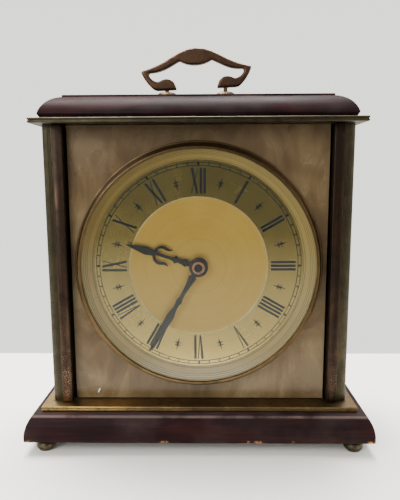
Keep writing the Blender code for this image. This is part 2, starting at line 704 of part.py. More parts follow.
def aimed(points, angle):
    """Turns (along, across) points of a hand to its angle clockwise from twelve, as X and Z."""
    s, c = math.sin(math.radians(angle)), math.cos(math.radians(angle))
    return [(along * s + across * c, Z_DIAL + along * c - across * s) for along, across in points]


def mirrored(half):
    return half + [(along, -across) for along, across in reversed(half)]


def curl():
    """One scroll of the hour hand, as a tapering band along its middle line."""
    line = [(26.6, 0.3), (25.6, 2.0), (24.7, 3.6), (23.3, 4.5), (21.7, 4.65), (19.9, 4.15),
            (18.2, 4.05), (16.5, 4.85)]
    widths = [0.8, 0.8, 0.8, 0.8, 0.85, 0.85, 0.65, 0.2]
    left, right = [], []
    for k, ((u, v), width) in enumerate(zip(line, widths)):
        before, after = line[max(k - 1, 0)], line[min(k + 1, len(line) - 1)]
        along = (Vector(after) - Vector(before)).normalized()
        left.append((u - along.y * width, v + along.x * width))
        right.append((u + along.y * width, v - along.x * width))
    return left + right[::-1]


def hub(name, y, hole, pivot):
    return washer(name, HUB_R, hole, DIAL_CENTRE, y, y + HAND_T, "hand_black", sides=32, pivot=pivot)


def hour_hand():
    stretch = HOUR_LENGTH / 42.3
    half = [(4.6, 1.3), (6.6, 1.5), (7.4, 2.4), (9.6, 1.6), (12.2, 1.25), (13.6, 2.35), (15.2, 1.1),
            (17.0, 0.87), (24.6, 0.9), (26.0, 1.6), (28.8, 1.9), (30.8, 2.4), (33.4, 2.0), (42.3, 0.3)]
    half = [(u * stretch, v) for u, v in half]
    front, back = Y_HOUR_HAND, Y_HOUR_HAND + HAND_T
    hand = prism_y("hour_hand", aimed(mirrored(half), HOUR_ANGLE), front, back, "hand_black", DIAL_CENTRE)
    join(hand, hub("hour_hub", Y_HOUR_HAND, HOUR_TUBE_R + RUN, DIAL_CENTRE))
    for side in (-1, 1):
        scroll = [(u * stretch, side * v) for u, v in curl()]
        join(hand, prism_y("scroll", aimed(scroll, HOUR_ANGLE), front, back, "hand_black", DIAL_CENTRE))


def minute_hand():
    stretch = MINUTE_LENGTH / 54.8
    half = [(4.6, 1.5), (5.8, 1.6), (6.2, 2.3), (11.0, 1.6), (16.5, 1.05), (20.6, 1.25), (22.3, 1.85),
            (24.2, 1.25), (26.4, 1.2), (29.8, 1.75), (32.4, 2.25), (52.6, 1.2), (54.8, 0.85)]
    half = [(u * stretch, v) for u, v in half]
    hand = prism_y("minute_hand", aimed(mirrored(half), MINUTE_ANGLE), Y_MINUTE_HAND,
                   Y_MINUTE_HAND + HAND_T, "hand_black", DIAL_CENTRE)
    join(hand, hub("minute_hub", Y_MINUTE_HAND, CANNON_R + RUN, DIAL_CENTRE))


def hand_nut():
    front = Y_MINUTE_HAND - GAP - HAND_NUT_T
    hole = CANNON_R + RUN
    profile = [(hole, front + 0.2), (hole + 0.2, front), (HAND_NUT_R - 0.4, front),
               (HAND_NUT_R, front + 0.3), (HAND_NUT_R, front + HAND_NUT_T), (hole, front + HAND_NUT_T)]
    turned("hand_nut", profile, DIAL_CENTRE, "copper_brass", sides=24, pivot=DIAL_CENTRE, ring=True)


# ---------------------------------------------------------------- movement

TOOTH_TOP, TOOTH_ROOT = 0.75, 1.1  # in modules, outside and inside the pitch circle
TOOTH_FOOT, TOOTH_TIP = 0.48, 0.2  # widths as shares of the pitch, which leaves easy backlash
TRAIN_TURN = {"motion": 205.0, "third": 60.0, "fourth": 0.0, "fifth": -60.0, "rotor": -30.0}
# The motion work is just large enough for its arbor to clear the centre wheel
MOTION_REACH = TRAIN_MODULE * (TEETH["centre"] / 2 + TOOTH_TOP) + SETTING_ARBOR_R + ARBOR_ROOM
MOTION_MODULE = 2 * MOTION_REACH / (TEETH["cannon"] + TEETH["motion"])
MOTION_PINION_MODULE = (MOTION_MODULE * (TEETH["cannon"] + TEETH["motion"])
                        / (TEETH["motion_pinion"] + TEETH["hour"]))


def stepped(place, turn, distance):
    angle = math.radians(turn)
    return (place[0] + distance * math.cos(angle), 0, place[2] + distance * math.sin(angle))


def mesh_distance(first, second, module):
    return module * (first + second) / 2


def next_phase(phase, turn, first, second):
    """The angle of a tooth of the second wheel that puts it in mesh with the first."""
    turn = math.radians(turn)
    offset = (turn - phase) % (math.tau / first)
    return turn + math.pi + offset * first / second + math.pi / second


def gear(name, teeth, module, place, phase, front, back, look, pivot):
    pitch = math.tau / teeth
    radius = module * teeth / 2
    top, root = radius + TOOTH_TOP * module, radius - TOOTH_ROOT * module
    outline = []
    for k in range(teeth):
        for r, share in ((root, -TOOTH_FOOT), (top, -TOOTH_TIP), (top, TOOTH_TIP), (root, TOOTH_FOOT)):
            angle = phase + pitch * (k + share / 2)
            outline.append((place[0] + r * math.cos(angle), place[2] + r * math.sin(angle)))
    return prism_y(name, outline, front, back, look, pivot)


LEAF = TEETH["leaf"]
CENTRE = DIAL_CENTRE
MOTION = stepped(CENTRE, TRAIN_TURN["motion"],
                 mesh_distance(TEETH["cannon"], TEETH["motion"], MOTION_MODULE))
THIRD = stepped(CENTRE, TRAIN_TURN["third"], mesh_distance(TEETH["centre"], LEAF, TRAIN_MODULE))
FOURTH = stepped(THIRD, TRAIN_TURN["fourth"], mesh_distance(TEETH["third"], LEAF, TRAIN_MODULE))
FIFTH = stepped(FOURTH, TRAIN_TURN["fifth"], mesh_distance(TEETH["fourth"], LEAF, TRAIN_MODULE))
ROTOR = stepped(FIFTH, TRAIN_TURN["rotor"], mesh_distance(TEETH["fifth"], LEAF, TRAIN_MODULE))

# Levels of the train, counted back from the front of the movement
LEVEL = {"hour": 1.9, "cannon": 3.5, "centre": 5.9, "third": 7.9, "fourth": 9.9, "fifth": 11.9}
# The chamber reaches round the train and the coil; the battery bay is below it
MOTION_TIP = MOTION_MODULE * (TEETH["motion"] / 2 + 1)
CHAMBER_LOW = MOTION[2] - MOTION_TIP - 1.8
COIL_LOW = FIFTH[2] + 4.3
STATOR_TOP = COIL_LOW + COIL_L + 2.6
CHAMBER_HIGH = STATOR_TOP + 1.2
CHAMBER_HALF = max(BAY_HALF, ROTOR[0] + STATOR_REACH + 0.8)
MOVEMENT_W = CHAMBER_HALF + MOVEMENT_WALL
DIVIDER = 1.2
BAY_HIGH = CHAMBER_LOW - DIVIDER
BAY_LOW = BAY_HIGH - BATTERY_D - 1.4
MOVEMENT_LOW = BAY_LOW - MOVEMENT_WALL
MOVEMENT_HIGH = CHAMBER_HIGH + MOVEMENT_WALL
BATTERY_Z = (BAY_LOW + BAY_HIGH) / 2


def level(name):
    return Y_MOVEMENT + LEVEL[name]


def arbor(name, place, front, back, radius=ARBOR_R, sides=12):
    return rod(name, radius, (place[0], 0, place[2]), front, back, "steel", sides=sides, pivot=place)


def train_wheel(name, place, teeth, level_name, phase, pinion_phase, pinion_level):
    """A wheel and its pinion on one arbor, which runs from the front to the back of the case."""
    front = level(level_name)
    wheel = gear(name, teeth, TRAIN_MODULE, place, phase, front, front + WHEEL_T, "pale_plastic", place)
    driven = level(pinion_level)
    if driven > front:
        low, high = front + WHEEL_T - 0.2, driven + WHEEL_T + 0.2
    else:
        low, high = driven - 0.2, front + 0.2
    join(wheel,
         gear(f"{name}_pinion", LEAF, TRAIN_MODULE, place, pinion_phase, low, high, "pale_plastic", place),
         arbor(f"{name}_arbor", place, INSIDE_FRONT + GAP, INSIDE_BACK - GAP))
    return wheel


def going_train():
    """Rotor, fifth, fourth, third and centre wheel: each pinion drives the wheel in front of it."""
    centre_phase = 0.0
    third_pinion = next_phase(centre_phase, TRAIN_TURN["third"], TEETH["centre"], LEAF)
    third_phase = 0.1
    fourth_pinion = next_phase(third_phase, TRAIN_TURN["fourth"], TEETH["third"], LEAF)
    fourth_phase = 0.2
    fifth_pinion = next_phase(fourth_phase, TRAIN_TURN["fifth"], TEETH["fourth"], LEAF)
    fifth_phase = 0.3
    rotor_pinion = next_phase(fifth_phase, TRAIN_TURN["rotor"], TEETH["fifth"], LEAF)
    front = level("centre")
    centre = gear("centre_wheel", TEETH["centre"], TRAIN_MODULE, CENTRE, centre_phase, front,
                  front + WHEEL_T, "worn_brass", CENTRE)
    join(centre, rod("centre_collet", 2.0, DIAL_CENTRE, front - 0.6, front + WHEEL_T + 0.2, "worn_brass",
                     sides=16, pivot=CENTRE))
    cut(centre, rod("centre_hole", TAIL_R + RUN, DIAL_CENTRE, front - 2, front + 3, "worn_brass",
                    sides=24, pivot=CENTRE))
    train_wheel("third_wheel", THIRD, TEETH["third"], "third", third_phase, third_pinion, "centre")
    train_wheel("fourth_wheel", FOURTH, TEETH["fourth"], "fourth", fourth_phase, fourth_pinion, "third")
    train_wheel("fifth_wheel", FIFTH, TEETH["fifth"], "fifth", fifth_phase, fifth_pinion, "fourth")
    rotor(rotor_pinion)


STATOR_Y = Y_MOVEMENT + STATOR_BACK


def rotor(phase):
    """The magnet turns in the stator's hole; its pinion drives the fifth wheel."""
    middle = STATOR_Y + STATOR_T / 2
    body = turned("rotor", [(0, middle - 1.5), (MAGNET_R, middle - 1.5), (MAGNET_R, middle + 1.5),
                            (0, middle + 1.5)], (ROTOR[0], 0, ROTOR[2]), "steel", sides=20, pivot=ROTOR)
    front = level("fifth") - 0.2
    join(body,
         gear("rotor_pinion", LEAF, TRAIN_MODULE, ROTOR, phase, front, front + WHEEL_T + 0.4, "steel", ROTOR),
         arbor("rotor_arbor", ROTOR, INSIDE_FRONT + GAP, INSIDE_BACK - GAP))


def cannon_pinion(phase):
    """The minute arbor: it carries the minute hand in front and ends in a pivot behind."""
    front = level("cannon")
    tip, tail = Y_MINUTE_HAND - 1.1, INSIDE_BACK - GAP
    profile = [(0, tip), (CANNON_R - 0.2, tip), (CANNON_R, tip + 0.2), (CANNON_R, front + 1.3),
               (TAIL_R, front + 1.5), (TAIL_R, tail), (0, tail)]
    body = turned("cannon_pinion", profile, DIAL_CENTRE, "worn_brass", sides=24, pivot=CENTRE)
    join(body, gear("cannon_teeth", TEETH["cannon"], MOTION_MODULE, CENTRE, phase, front, front + 1.2,
                    "worn_brass", CENTRE))


def hour_wheel(phase):
    front = level("hour")
    wheel = gear("hour_wheel", TEETH["hour"], MOTION_PINION_MODULE, CENTRE, phase, front,
                 front + MOTION_WHEEL_T, "worn_brass", CENTRE)
    join(wheel, rod("hour_tube", HOUR_TUBE_R, DIAL_CENTRE, Y_HOUR_HAND - 0.4, front + 0.5, "worn_brass",
                    pivot=CENTRE, sides=24))
    cut(wheel, rod("hour_bore", CANNON_R + RUN, DIAL_CENTRE, Y_HOUR_HAND - 2,
                   front + MOTION_WHEEL_T + 1, "worn_brass", pivot=CENTRE, sides=24))


def motion_work():
    """Cannon pinion, motion wheel and hour wheel: twelve turns of the first make one of the last."""
    cannon_phase = 0.0
    motion_phase = next_phase(cannon_phase, TRAIN_TURN["motion"], TEETH["cannon"], TEETH["motion"])
    pinion_phase = 0.15
    hour_phase = next_phase(pinion_phase, TRAIN_TURN["motion"] + 180, TEETH["motion_pinion"], TEETH["hour"])
    cannon_pinion(cannon_phase)
    hour_wheel(hour_phase)
    front = level("cannon") + 0.1
    wheel = gear("motion_wheel", TEETH["motion"], MOTION_MODULE, MOTION, motion_phase, front,
                 front + MOTION_WHEEL_T, "worn_brass", MOTION)
    pinion_front = level("hour") - 0.1
    join(wheel,
         gear("motion_pinion", TEETH["motion_pinion"], MOTION_PINION_MODULE, MOTION, pinion_phase,
              pinion_front, front + 0.2, "worn_brass", MOTION),
         arbor("motion_arbor", MOTION, pinion_front + 0.2, Y_MOVEMENT_BACK + 2.2, SETTING_ARBOR_R))
    set_knob()


def set_knob():
    low = Y_MOVEMENT_BACK + GAP + 0.1
    hole = SETTING_ARBOR_R + RUN
    profile = [(hole, low), (SET_KNOB_R - 0.5, low), (SET_KNOB_R, low + 0.5), (SET_KNOB_R, low + 3.2),
               (SET_KNOB_R - 0.8, low + 4.0), (0, low + 4.0), (0, low + 2.4), (hole, low + 2.4)]
    turned("set_knob", profile, (MOTION[0], 0, MOTION[2]), "black_plastic", sides=24, pivot=MOTION, ring=True)


def movement_front():
    """The lid of the movement, with the threaded boss that holds it to the dial."""
    plate = block("movement_front_case", (-MOVEMENT_W, MOVEMENT_W), (Y_MOVEMENT, Y_MOVEMENT + LID_T),
                  (MOVEMENT_LOW, MOVEMENT_HIGH), "black_plastic")
    join(plate, rod("boss", BOSS_R, DIAL_CENTRE, Y_BOSS, Y_MOVEMENT + 0.5, "black_plastic", sides=32))
    cut(plate, rod("boss_bore", HOUR_TUBE_R + RUN, DIAL_CENTRE, Y_BOSS - 2, Y_MOVEMENT + 3, "black_plastic",
                   sides=32))


def movement_rear():
    """The body of the movement: a chamber open to the front and a battery bay open to the rear."""
    case = block("movement_rear_case", (-MOVEMENT_W, MOVEMENT_W), (INSIDE_FRONT, Y_MOVEMENT_BACK),
                 (MOVEMENT_LOW, MOVEMENT_HIGH), "black_plastic")
    chamber = block("chamber", (-CHAMBER_HALF, CHAMBER_HALF), (INSIDE_FRONT - 1, INSIDE_BACK),
                    (CHAMBER_LOW, CHAMBER_HIGH), "black_plastic")
    bay = block("battery_bay", (-BAY_HALF, BAY_HALF), (INSIDE_FRONT + BAY_FLOOR_T, Y_MOVEMENT_BACK + 1),
                (BAY_LOW, BAY_HIGH), "black_plastic")
    slot = block("contact_slot", (-BAY_HALF, -BAY_HALF + 1.2), (BATTERY_Y - 2, BATTERY_Y + 2),
                 (BAY_HIGH - 1, CHAMBER_LOW + 1), "black_plastic")
    hole = rod("knob_hole", SETTING_ARBOR_R + RUN, (MOTION[0], 0, MOTION[2]), INSIDE_BACK - 1,
               Y_MOVEMENT_BACK + 1, "black_plastic", sides=16)
    cut(case, chamber, bay, slot, hole)


def movement_fixings():
    washer("rubber_washer", WASHER_R, BOSS_R + GAP, DIAL_CENTRE, Y_DIAL + DIAL_T + GAP, Y_MOVEMENT - GAP,
           "rubber")
    washer("mounting_nut", HUB_R - 0.1, BOSS_R + GAP / 2, DIAL_CENTRE, Y_NUT, Y_NUT + NUT_T,
           "bright_brass", sides=32)


def stator_and_coil():
    left, right = ROTOR[0] - 4.1, ROTOR[0] + STATOR_REACH
    arm = left + 2.3
    core_x = ROTOR[0] + 2.5
    pole_low, pole_high = ROTOR[2] - 4.4, ROTOR[2] + 4.7
    yoke_low = STATOR_TOP - 2.2
    outline = [(left, pole_low), (right, pole_low), (right, pole_high), (arm, pole_high), (arm, yoke_low),
               (core_x + 1.4, yoke_low), (core_x + 1.4, STATOR_TOP), (left, STATOR_TOP)]
    stator = prism_y("stator", outline, STATOR_Y, STATOR_Y + STATOR_T, "steel")
    cut(stator, rod("rotor_hole", MAGNET_R + STATOR_GAP, (ROTOR[0], 0, ROTOR[2]), STATOR_Y - 1,
                    STATOR_Y + 2, "steel", sides=24))
    core_y = STATOR_Y + STATOR_T + GAP
    block("coil_core", (core_x - CORE_W / 2, core_x + CORE_W / 2), (core_y, core_y + CORE_T),
          (pole_high - 1.6, STATOR_TOP - 0.2), "steel")
    coil(core_x, core_y + CORE_T / 2)


def coil(x, y):
    """A bobbin over the core, and its winding as one solid ring."""
    high = COIL_LOW + COIL_L
    reach, deep = (x - COIL_R - 0.4, x + COIL_R + 0.4), (y - COIL_R - 0.2, y + COIL_R + 0.2)
    slot_x, slot_y = CORE_W / 2 + GAP, CORE_T / 2 + GAP
    tube_x, tube_y = slot_x + 0.5, slot_y + 0.5
    room_x, room_y = tube_x + GAP, tube_y + GAP
    low_flange, high_flange = (COIL_LOW, COIL_LOW + COIL_FLANGE_T), (high - COIL_FLANGE_T, high)
    bobbin = block("coil_bobbin", (x - tube_x, x + tube_x), (y - tube_y, y + tube_y), (COIL_LOW, high),
                   "pale_plastic")
    join(bobbin,
         block("low_flange", reach, deep, low_flange, "pale_plastic"),
         block("high_flange", reach, deep, high_flange, "pale_plastic"))
    cut(bobbin, block("core_slot", (x - slot_x, x + slot_x), (y - slot_y, y + slot_y),
                      (COIL_LOW - 1, high + 1), "pale_plastic"))
    winding = rod("coil_winding", COIL_R, (x, y, 0), low_flange[1] + GAP, high_flange[0] - GAP,
                  "copper_wire", "Z", 24)
    cut(winding, block("bobbin_room", (x - room_x, x + room_x), (y - room_y, y + room_y),
                       (COIL_LOW, high), "copper_wire"))


def electronics():
    board_low = MOTION[2] + 13.6
    board_y = Y_MOVEMENT + 10.8
    xs = (-BAY_HALF + 0.8, THIRD[0] - 10.0)
    block("circuit_board", xs, (board_y, board_y + 1.0), (board_low, board_low + BOARD_H), "board_green")
    rod("quartz_crystal", CRYSTAL_R, (xs[0] + 6, board_y + 1.0 + GAP + CRYSTAL_R, board_low + 9),
        0, CRYSTAL_L, "steel", "X", 16)
    contacts(board_low)
    battery()


def contacts(board_low):
    """A plain strip with a pad at the positive end, and one with a spring cone at the other."""
    reach = CONTACT_ROOM - GAP - CONTACT_T - GAP
    outside = BAY_HALF - GAP
    tall = BATTERY_D * 0.35
    y_half = 1.4
    xs = (-outside, -outside + CONTACT_T)
    plus = block("contact_positive", xs, (BATTERY_Y - y_half, BATTERY_Y + y_half),
                 (BATTERY_Z - tall, board_low - 2 * GAP), "steel")
    join(plus, rod("positive_pad", 1.2, (0, BATTERY_Y, BATTERY_Z), xs[1] - 0.2, xs[1] + reach,
                   "steel", "X", 12))
    xs = (outside - CONTACT_T, outside)
    minus = block("contact_negative", xs, (BATTERY_Y - 3, BATTERY_Y + 3),
                  (BATTERY_Z - tall, BATTERY_Z + tall), "steel")
    cone = [(0, xs[0] + 0.2), (3.4, xs[0] + 0.2), (3.4, xs[0]), (2.0, xs[0] - reach), (0, xs[0] - reach)]
    join(minus, turned("spring_cone", cone, (0, BATTERY_Y, BATTERY_Z), "steel", "X", 16))


def battery():
    half, radius, nub = BATTERY_L / 2, BATTERY_D / 2, 1.3
    profile = [(0, -half), (2.5, -half), (2.5, -half + nub), (radius - 0.6, -half + nub),
               (radius, -half + nub + 0.6), (radius, half - 0.6), (radius - 0.6, half), (0, half)]
    centre = (0, BATTERY_Y, BATTERY_Z)
    turned("battery", profile, centre, "battery_label", "X", 24, pivot=centre)


# ---------------------------------------------------------------- the whole clock


def main():
    for thing in list(bpy.data.objects):
        bpy.data.objects.remove(thing)
    feet()
    base_board()
    screw = (PILLAR_SCREW_Y, SCREW_R)
    pillar_holes = [(-PILLAR_SCREW_X, *screw), (PILLAR_SCREW_X, *screw)]
    stem_holes = [(HANDLE_OFF_CENTRE + side * STEM_SPAN / 2, 0, STEM_R) for side in (-1, 1)]
    brass_plate("base_plate", Z_BASE_PLATE, "worn_brass", pillar_holes)
    brass_plate("top_plate", Z_TOP_PLATE, "aged_brass", pillar_holes + stem_holes)
    top_board()
    pillars()
    front_panel()
    side_panels()
    rear_panel()
    hang_door([rear_door(), door_hinge(), door_knob()])
    handle()
    handle_screws()
    bezel()
    reflector()
    glass()
    dial()
    hour_hand()
    minute_hand()
    hand_nut()
    movement_front()
    movement_rear()
    movement_fixings()
    motion_work()
    going_train()
    stator_and_coil()
    electronics()


main()
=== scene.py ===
# %% [markdown]
# # A battery mantel clock, finished
#
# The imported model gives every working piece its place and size. This script gives those pieces
# their surfaces. Pieces whose shape was only roughed out, such as turned rings and castings, are
# made again at full quality in the same place.
#
# The clock's sizes are in millimetres here, as a clock maker's are, and become metres when a mesh
# is made.

# %% Load the model
import json
import math

import bmesh
import bpy
from mathutils import Matrix, Vector

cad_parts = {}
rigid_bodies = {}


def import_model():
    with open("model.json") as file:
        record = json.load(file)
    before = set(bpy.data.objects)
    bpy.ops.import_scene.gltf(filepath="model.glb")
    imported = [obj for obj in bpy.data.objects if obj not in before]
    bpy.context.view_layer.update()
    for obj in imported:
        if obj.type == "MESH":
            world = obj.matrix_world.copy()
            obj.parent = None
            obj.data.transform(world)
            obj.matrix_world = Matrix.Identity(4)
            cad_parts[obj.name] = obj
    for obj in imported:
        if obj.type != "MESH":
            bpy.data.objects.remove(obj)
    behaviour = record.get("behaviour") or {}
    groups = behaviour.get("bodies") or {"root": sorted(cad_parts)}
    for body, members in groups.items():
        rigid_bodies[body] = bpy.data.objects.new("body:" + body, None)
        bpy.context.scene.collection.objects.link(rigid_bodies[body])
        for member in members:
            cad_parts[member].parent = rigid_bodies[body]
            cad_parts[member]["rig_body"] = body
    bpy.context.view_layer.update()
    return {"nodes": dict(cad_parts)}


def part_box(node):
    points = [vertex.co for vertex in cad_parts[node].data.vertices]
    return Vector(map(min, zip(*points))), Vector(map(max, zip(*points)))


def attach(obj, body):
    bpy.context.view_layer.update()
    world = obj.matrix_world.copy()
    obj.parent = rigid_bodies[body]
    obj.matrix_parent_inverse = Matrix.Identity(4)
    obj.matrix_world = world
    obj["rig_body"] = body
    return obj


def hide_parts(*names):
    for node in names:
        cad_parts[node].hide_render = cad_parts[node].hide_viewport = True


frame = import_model()
NODES = frame["nodes"]
MM = 0.001
SLOT_OF = {name: thing.data.materials[0].name for name, thing in NODES.items()}
print(len(NODES), "pieces;", len(set(SLOT_OF.values())), "finishes")


def box(node):
    """Lowest and highest corner of a piece, in millimetres."""
    low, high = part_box(node)
    return low / MM, high / MM


# %% [markdown]
# ## Where things are
# The dial is the clock's centre, so its middle and its face are read from the model once. All
# turned pieces share that axis, which runs from front to back.

# %% The dial's axis
dial_low, dial_high = box("dial_plate")
AXIS = Vector((0, 0, (dial_low.z + dial_high.z) / 2))
DIAL_FACE = dial_low.y
print("dial axis at height", round(AXIS.z, 2), "mm, its face at", round(DIAL_FACE, 2))

# %% [markdown]
# ## The camera
# The viewer is close in front of the clock and looks slightly down at it. The lens is as long as
# the sensor is wide, so the long side of the picture spans 53 degrees.

# %% Camera
CAMERA_AT = (5.2, -301.0, 152.7)
LOOK_DOWN, LOOK_LEFT, TILT = 8.25, 0.9, -0.24  # degrees

camera_data = bpy.data.cameras.new("camera")
camera_data.sensor_width = camera_data.lens = 36.0
camera_data.clip_start = 0.01
camera = bpy.data.objects.new("camera", camera_data)
bpy.context.scene.collection.objects.link(camera)
camera.matrix_world = (Matrix.Translation(Vector(CAMERA_AT) * MM)
                       @ Matrix.Rotation(math.radians(LOOK_LEFT), 4, "Z")
                       @ Matrix.Rotation(math.radians(90 - LOOK_DOWN), 4, "X")
                       @ Matrix.Rotation(math.radians(TILT), 4, "Z"))
bpy.context.scene.camera = camera
print("camera", CAMERA_AT)

# %% [markdown]
# ## Writing shaders as sums
# A material is a graph of nodes, and long graphs are hard to read when each link is a line. Here a
# small class wraps a socket, so that `grain * 0.4 + 0.2` adds the two Math nodes and returns the
# result. Every other node comes from one method, which also serves Geometry Nodes.


# %% A socket that can be written in sums
class Value:
    def __init__(self, tree, socket):
        self.tree, self.socket = tree, socket

    def __add__(self, other):
        return self.tree.math("ADD", self, other)

    def __sub__(self, other):
        return self.tree.math("SUBTRACT", self, other)

    def __rsub__(self, other):
        return self.tree.math("SUBTRACT", other, self)

    def __mul__(self, other):
        return self.tree.math("MULTIPLY", self, other)

    def __truediv__(self, other):
        return self.tree.math("DIVIDE", self, other)

    __radd__, __rmul__ = __add__, __mul__

    def size(self):
        return self.tree.math("ABSOLUTE", self)

    def fade(self, start, end):
        """0 below start, 1 above end, and smooth between."""
        inputs = {"Value": self, "From Min": start, "From Max": end}
        return self.tree.node("ShaderNodeMapRange", {"interpolation_type": "SMOOTHSTEP"}, inputs)


# %% A tree of nodes
class Tree:
    def __init__(self, tree):
        self.tree = tree

    def node(self, kind, settings=None, inputs=None, out=0):
        """Adds a node: its settings first, then a value or a link for each input."""
        node = self.tree.nodes.new(kind)
        for name, value in (settings or {}).items():
            if name == "stops":
                self.stops(node.color_ramp.elements, value)
            else:
                setattr(node, name, value)
        for key, value in (inputs or {}).items():
            socket = node.inputs[key]
            if isinstance(value, Value):
                self.tree.links.new(value.socket, socket)
            elif socket.type == "RGBA":
                socket.default_value = (*value, 1)
            else:
                socket.default_value = value
        return None if out is None else Value(self, node.outputs[out])

    def stops(self, elements, stops):
        elements[0].position, elements[-1].position = stops[0][0], stops[-1][0]
        elements[0].color, elements[-1].color = (*stops[0][1], 1), (*stops[-1][1], 1)
        for position, colour in stops[1:-1]:
            elements.new(position).color = (*colour, 1)

    def math(self, operation, first, second=0.0):
        return self.node("ShaderNodeMath", {"operation": operation}, {0: first, 1: second})

    def mix(self, share, first, second):
        """The first colour where the share is 0, and the second where it is 1."""
        return self.node("ShaderNodeMix", {"data_type": "RGBA"}, {0: share, 6: first, 7: second}, 2)


# %% [markdown]
# ## A finish
# A finish is a tree with the patterns that several materials share: noise that may be drawn out
# along one axis, a mix of two colours, and the final surface. Patterns read the piece's own
# coordinates in metres, so their scale is real and stays put when the piece moves.


# %% Finish
class Finish(Tree):
    def __init__(self, name):
        self.material = bpy.data.materials.new(name)
        self.material.use_nodes = True
        super().__init__(self.material.node_tree)
        self.tree.nodes.clear()
        self.place = self.node("ShaderNodeTexCoord", out="Object")
        parts = [self.node("ShaderNodeSeparateXYZ", inputs={0: self.place}, out=k) for k in range(3)]
        self.x, self.y, self.z = [part / MM for part in parts]

    def noise(self, size, detail=3.0, stretch=(1, 1, 1), roughness=0.5, warp=0.0):
        """Soft noise with features of a size in millimetres, longer along an axis with more stretch."""
        scale = [1 / (size * MM * longer) for longer in stretch]
        place = self.node("ShaderNodeMapping", inputs={"Vector": self.place, "Scale": scale})
        return self.node("ShaderNodeTexNoise", inputs={
            "Vector": place, "Scale": 1.0, "Detail": detail, "Roughness": roughness, "Distortion": warp})

    def radius(self):
        """Distance from the dial's axis, in millimetres."""
        x, z = self.x - AXIS.x, self.z - AXIS.z
        return self.math("SQRT", x * x + z * z)

    def rings(self, pitch):
        """Fine turning marks round the dial's axis: noise that changes with the radius only."""
        along = self.node("ShaderNodeCombineXYZ", inputs={0: self.radius() / pitch})
        return self.node("ShaderNodeTexNoise", inputs={"Vector": along, "Scale": 1.0, "Detail": 3.0})

    def ramp(self, value, stops):
        return self.node("ShaderNodeValToRGB", {"stops": stops}, {0: value})

    def surface(self, colour, roughness, metallic=0.0, height=None, depth=0.02, **fixed):
        """The shader. Height is a pattern from 0 to 1, and depth is what 1 means in millimetres."""
        inputs = {"Base Color": colour, "Roughness": roughness, "Metallic": metallic}
        inputs |= {name.replace("_", " "): value for name, value in fixed.items()}
        if height is not None:
            inputs["Normal"] = self.node("ShaderNodeBump", inputs={"Height": height, "Distance": depth * MM})
        return self.show(self.node("ShaderNodeBsdfPrincipled", inputs=inputs))

    def show(self, shader):
        self.node("ShaderNodeOutputMaterial", inputs={"Surface": shader}, out=None)
        return self.material


FINISHES = {}
print("shader helpers ready")

# %% [markdown]
# ## Dark wood
# The base and the top are stained mahogany under satin lacquer, nearly black with red where light
# gets in. Noise stretched along the board makes the grain. A painted highlight lightens a broken line
# along the base's upper edge, and knocks along its lower edge and at its front corners have left pale wood.

# %% Wood
base_low, base_high = box("base_board")
GRAIN_STRETCH, FIGURE_STRETCH = 60, 4
# Chips in the base's lower edge: the place along it and half the length.
CHIPS = [(-19.0, 2.6), (27.5, 1.0), (33.0, 3.0), (52.0, 0.9), (-95.0, 2.0), (95.0, 2.4)]


def wood(name, along, deep, red):
    f = Finish(name)

    def drawn(longer):
        return (longer, 1, 1) if along == "X" else (1, 1, longer)

    grain = f.noise(0.9, 5, drawn(GRAIN_STRETCH), 0.6, 0.4)
    figure = f.noise(14, 3, drawn(FIGURE_STRETCH), warp=1.2)
    colour = f.mix(figure.fade(0.35, 0.7), deep, red)
    colour = f.mix(grain.fade(0.45, 0.75) * 0.35, colour, [c * 2.2 for c in red])
    dust = f.noise(25, 4).fade(0.4, 0.8)
    colour = f.mix(dust * 0.05, colour, (0.28, 0.24, 0.22))
    roughness = grain * 0.08 + dust * 0.14 + 0.36
    pores = grain.fade(0.2, 0.5)
    if name == "dark_wood":
        # Painted highlight: a pale line along the base's upper edge, broken by noise, stands in for the
        # lacquer's shine there.
        painted_highlight = (f.z - (base_high.z - 0.7)).size().fade(0.9, 0.2) * f.noise(12, 3).fade(0.25, 0.6)
        colour = f.mix(painted_highlight * 0.8, colour, (0.12, 0.085, 0.075))
        low_edge = f.z.fade(base_low.z + 2.2, base_low.z + 0.5)
        near = low_edge * f.y.size().fade(base_high.y - 1.6, base_high.y - 0.4)
        bare = None
        for place, half in CHIPS:
            spot = (f.x - place).size().fade(half, half * 0.4)
            bare = spot if bare is None else f.math("MAXIMUM", bare, spot)
        ragged = f.noise(1.1, 3).fade(0.44, 0.52)
        corner = f.x.size().fade(base_high.x - 0.9, base_high.x - 0.2)
        corner = corner * f.y.fade(base_low.y + 5, base_low.y + 2)
        corner = corner * f.noise(3, 3).fade(0.5, 0.56)
        bare = f.math("MAXIMUM", bare * near, corner * f.z.fade(base_low.z + 9, base_low.z + 4)) * ragged
        colour = f.mix(bare, colour, (0.45, 0.22, 0.1))
        roughness = roughness + bare * 0.4
        pores = pores - bare * 2.0
    return f.surface(colour, roughness, height=pores, depth=0.012, Specular_IOR_Level=0.02)


FINISHES["dark_wood"] = wood("dark_wood", "X", (0.011, 0.0055, 0.006), (0.022, 0.0085, 0.008))
side_wood = wood("side_wood", "Z", (0.012, 0.006, 0.007), (0.038, 0.013, 0.01))
print("wood:", len(CHIPS), "chips")

# %% [markdown]
# ## Marbled front
# Two sizes of noise, drawn out by a strong distortion, give the swirls, and thin pale veins follow
# one level of them. Painted shade darkens the top, under the top plate, and one small white nick is
# near the lower left.

# %% Marbled panel
panel_low, panel_high = box("front_panel")


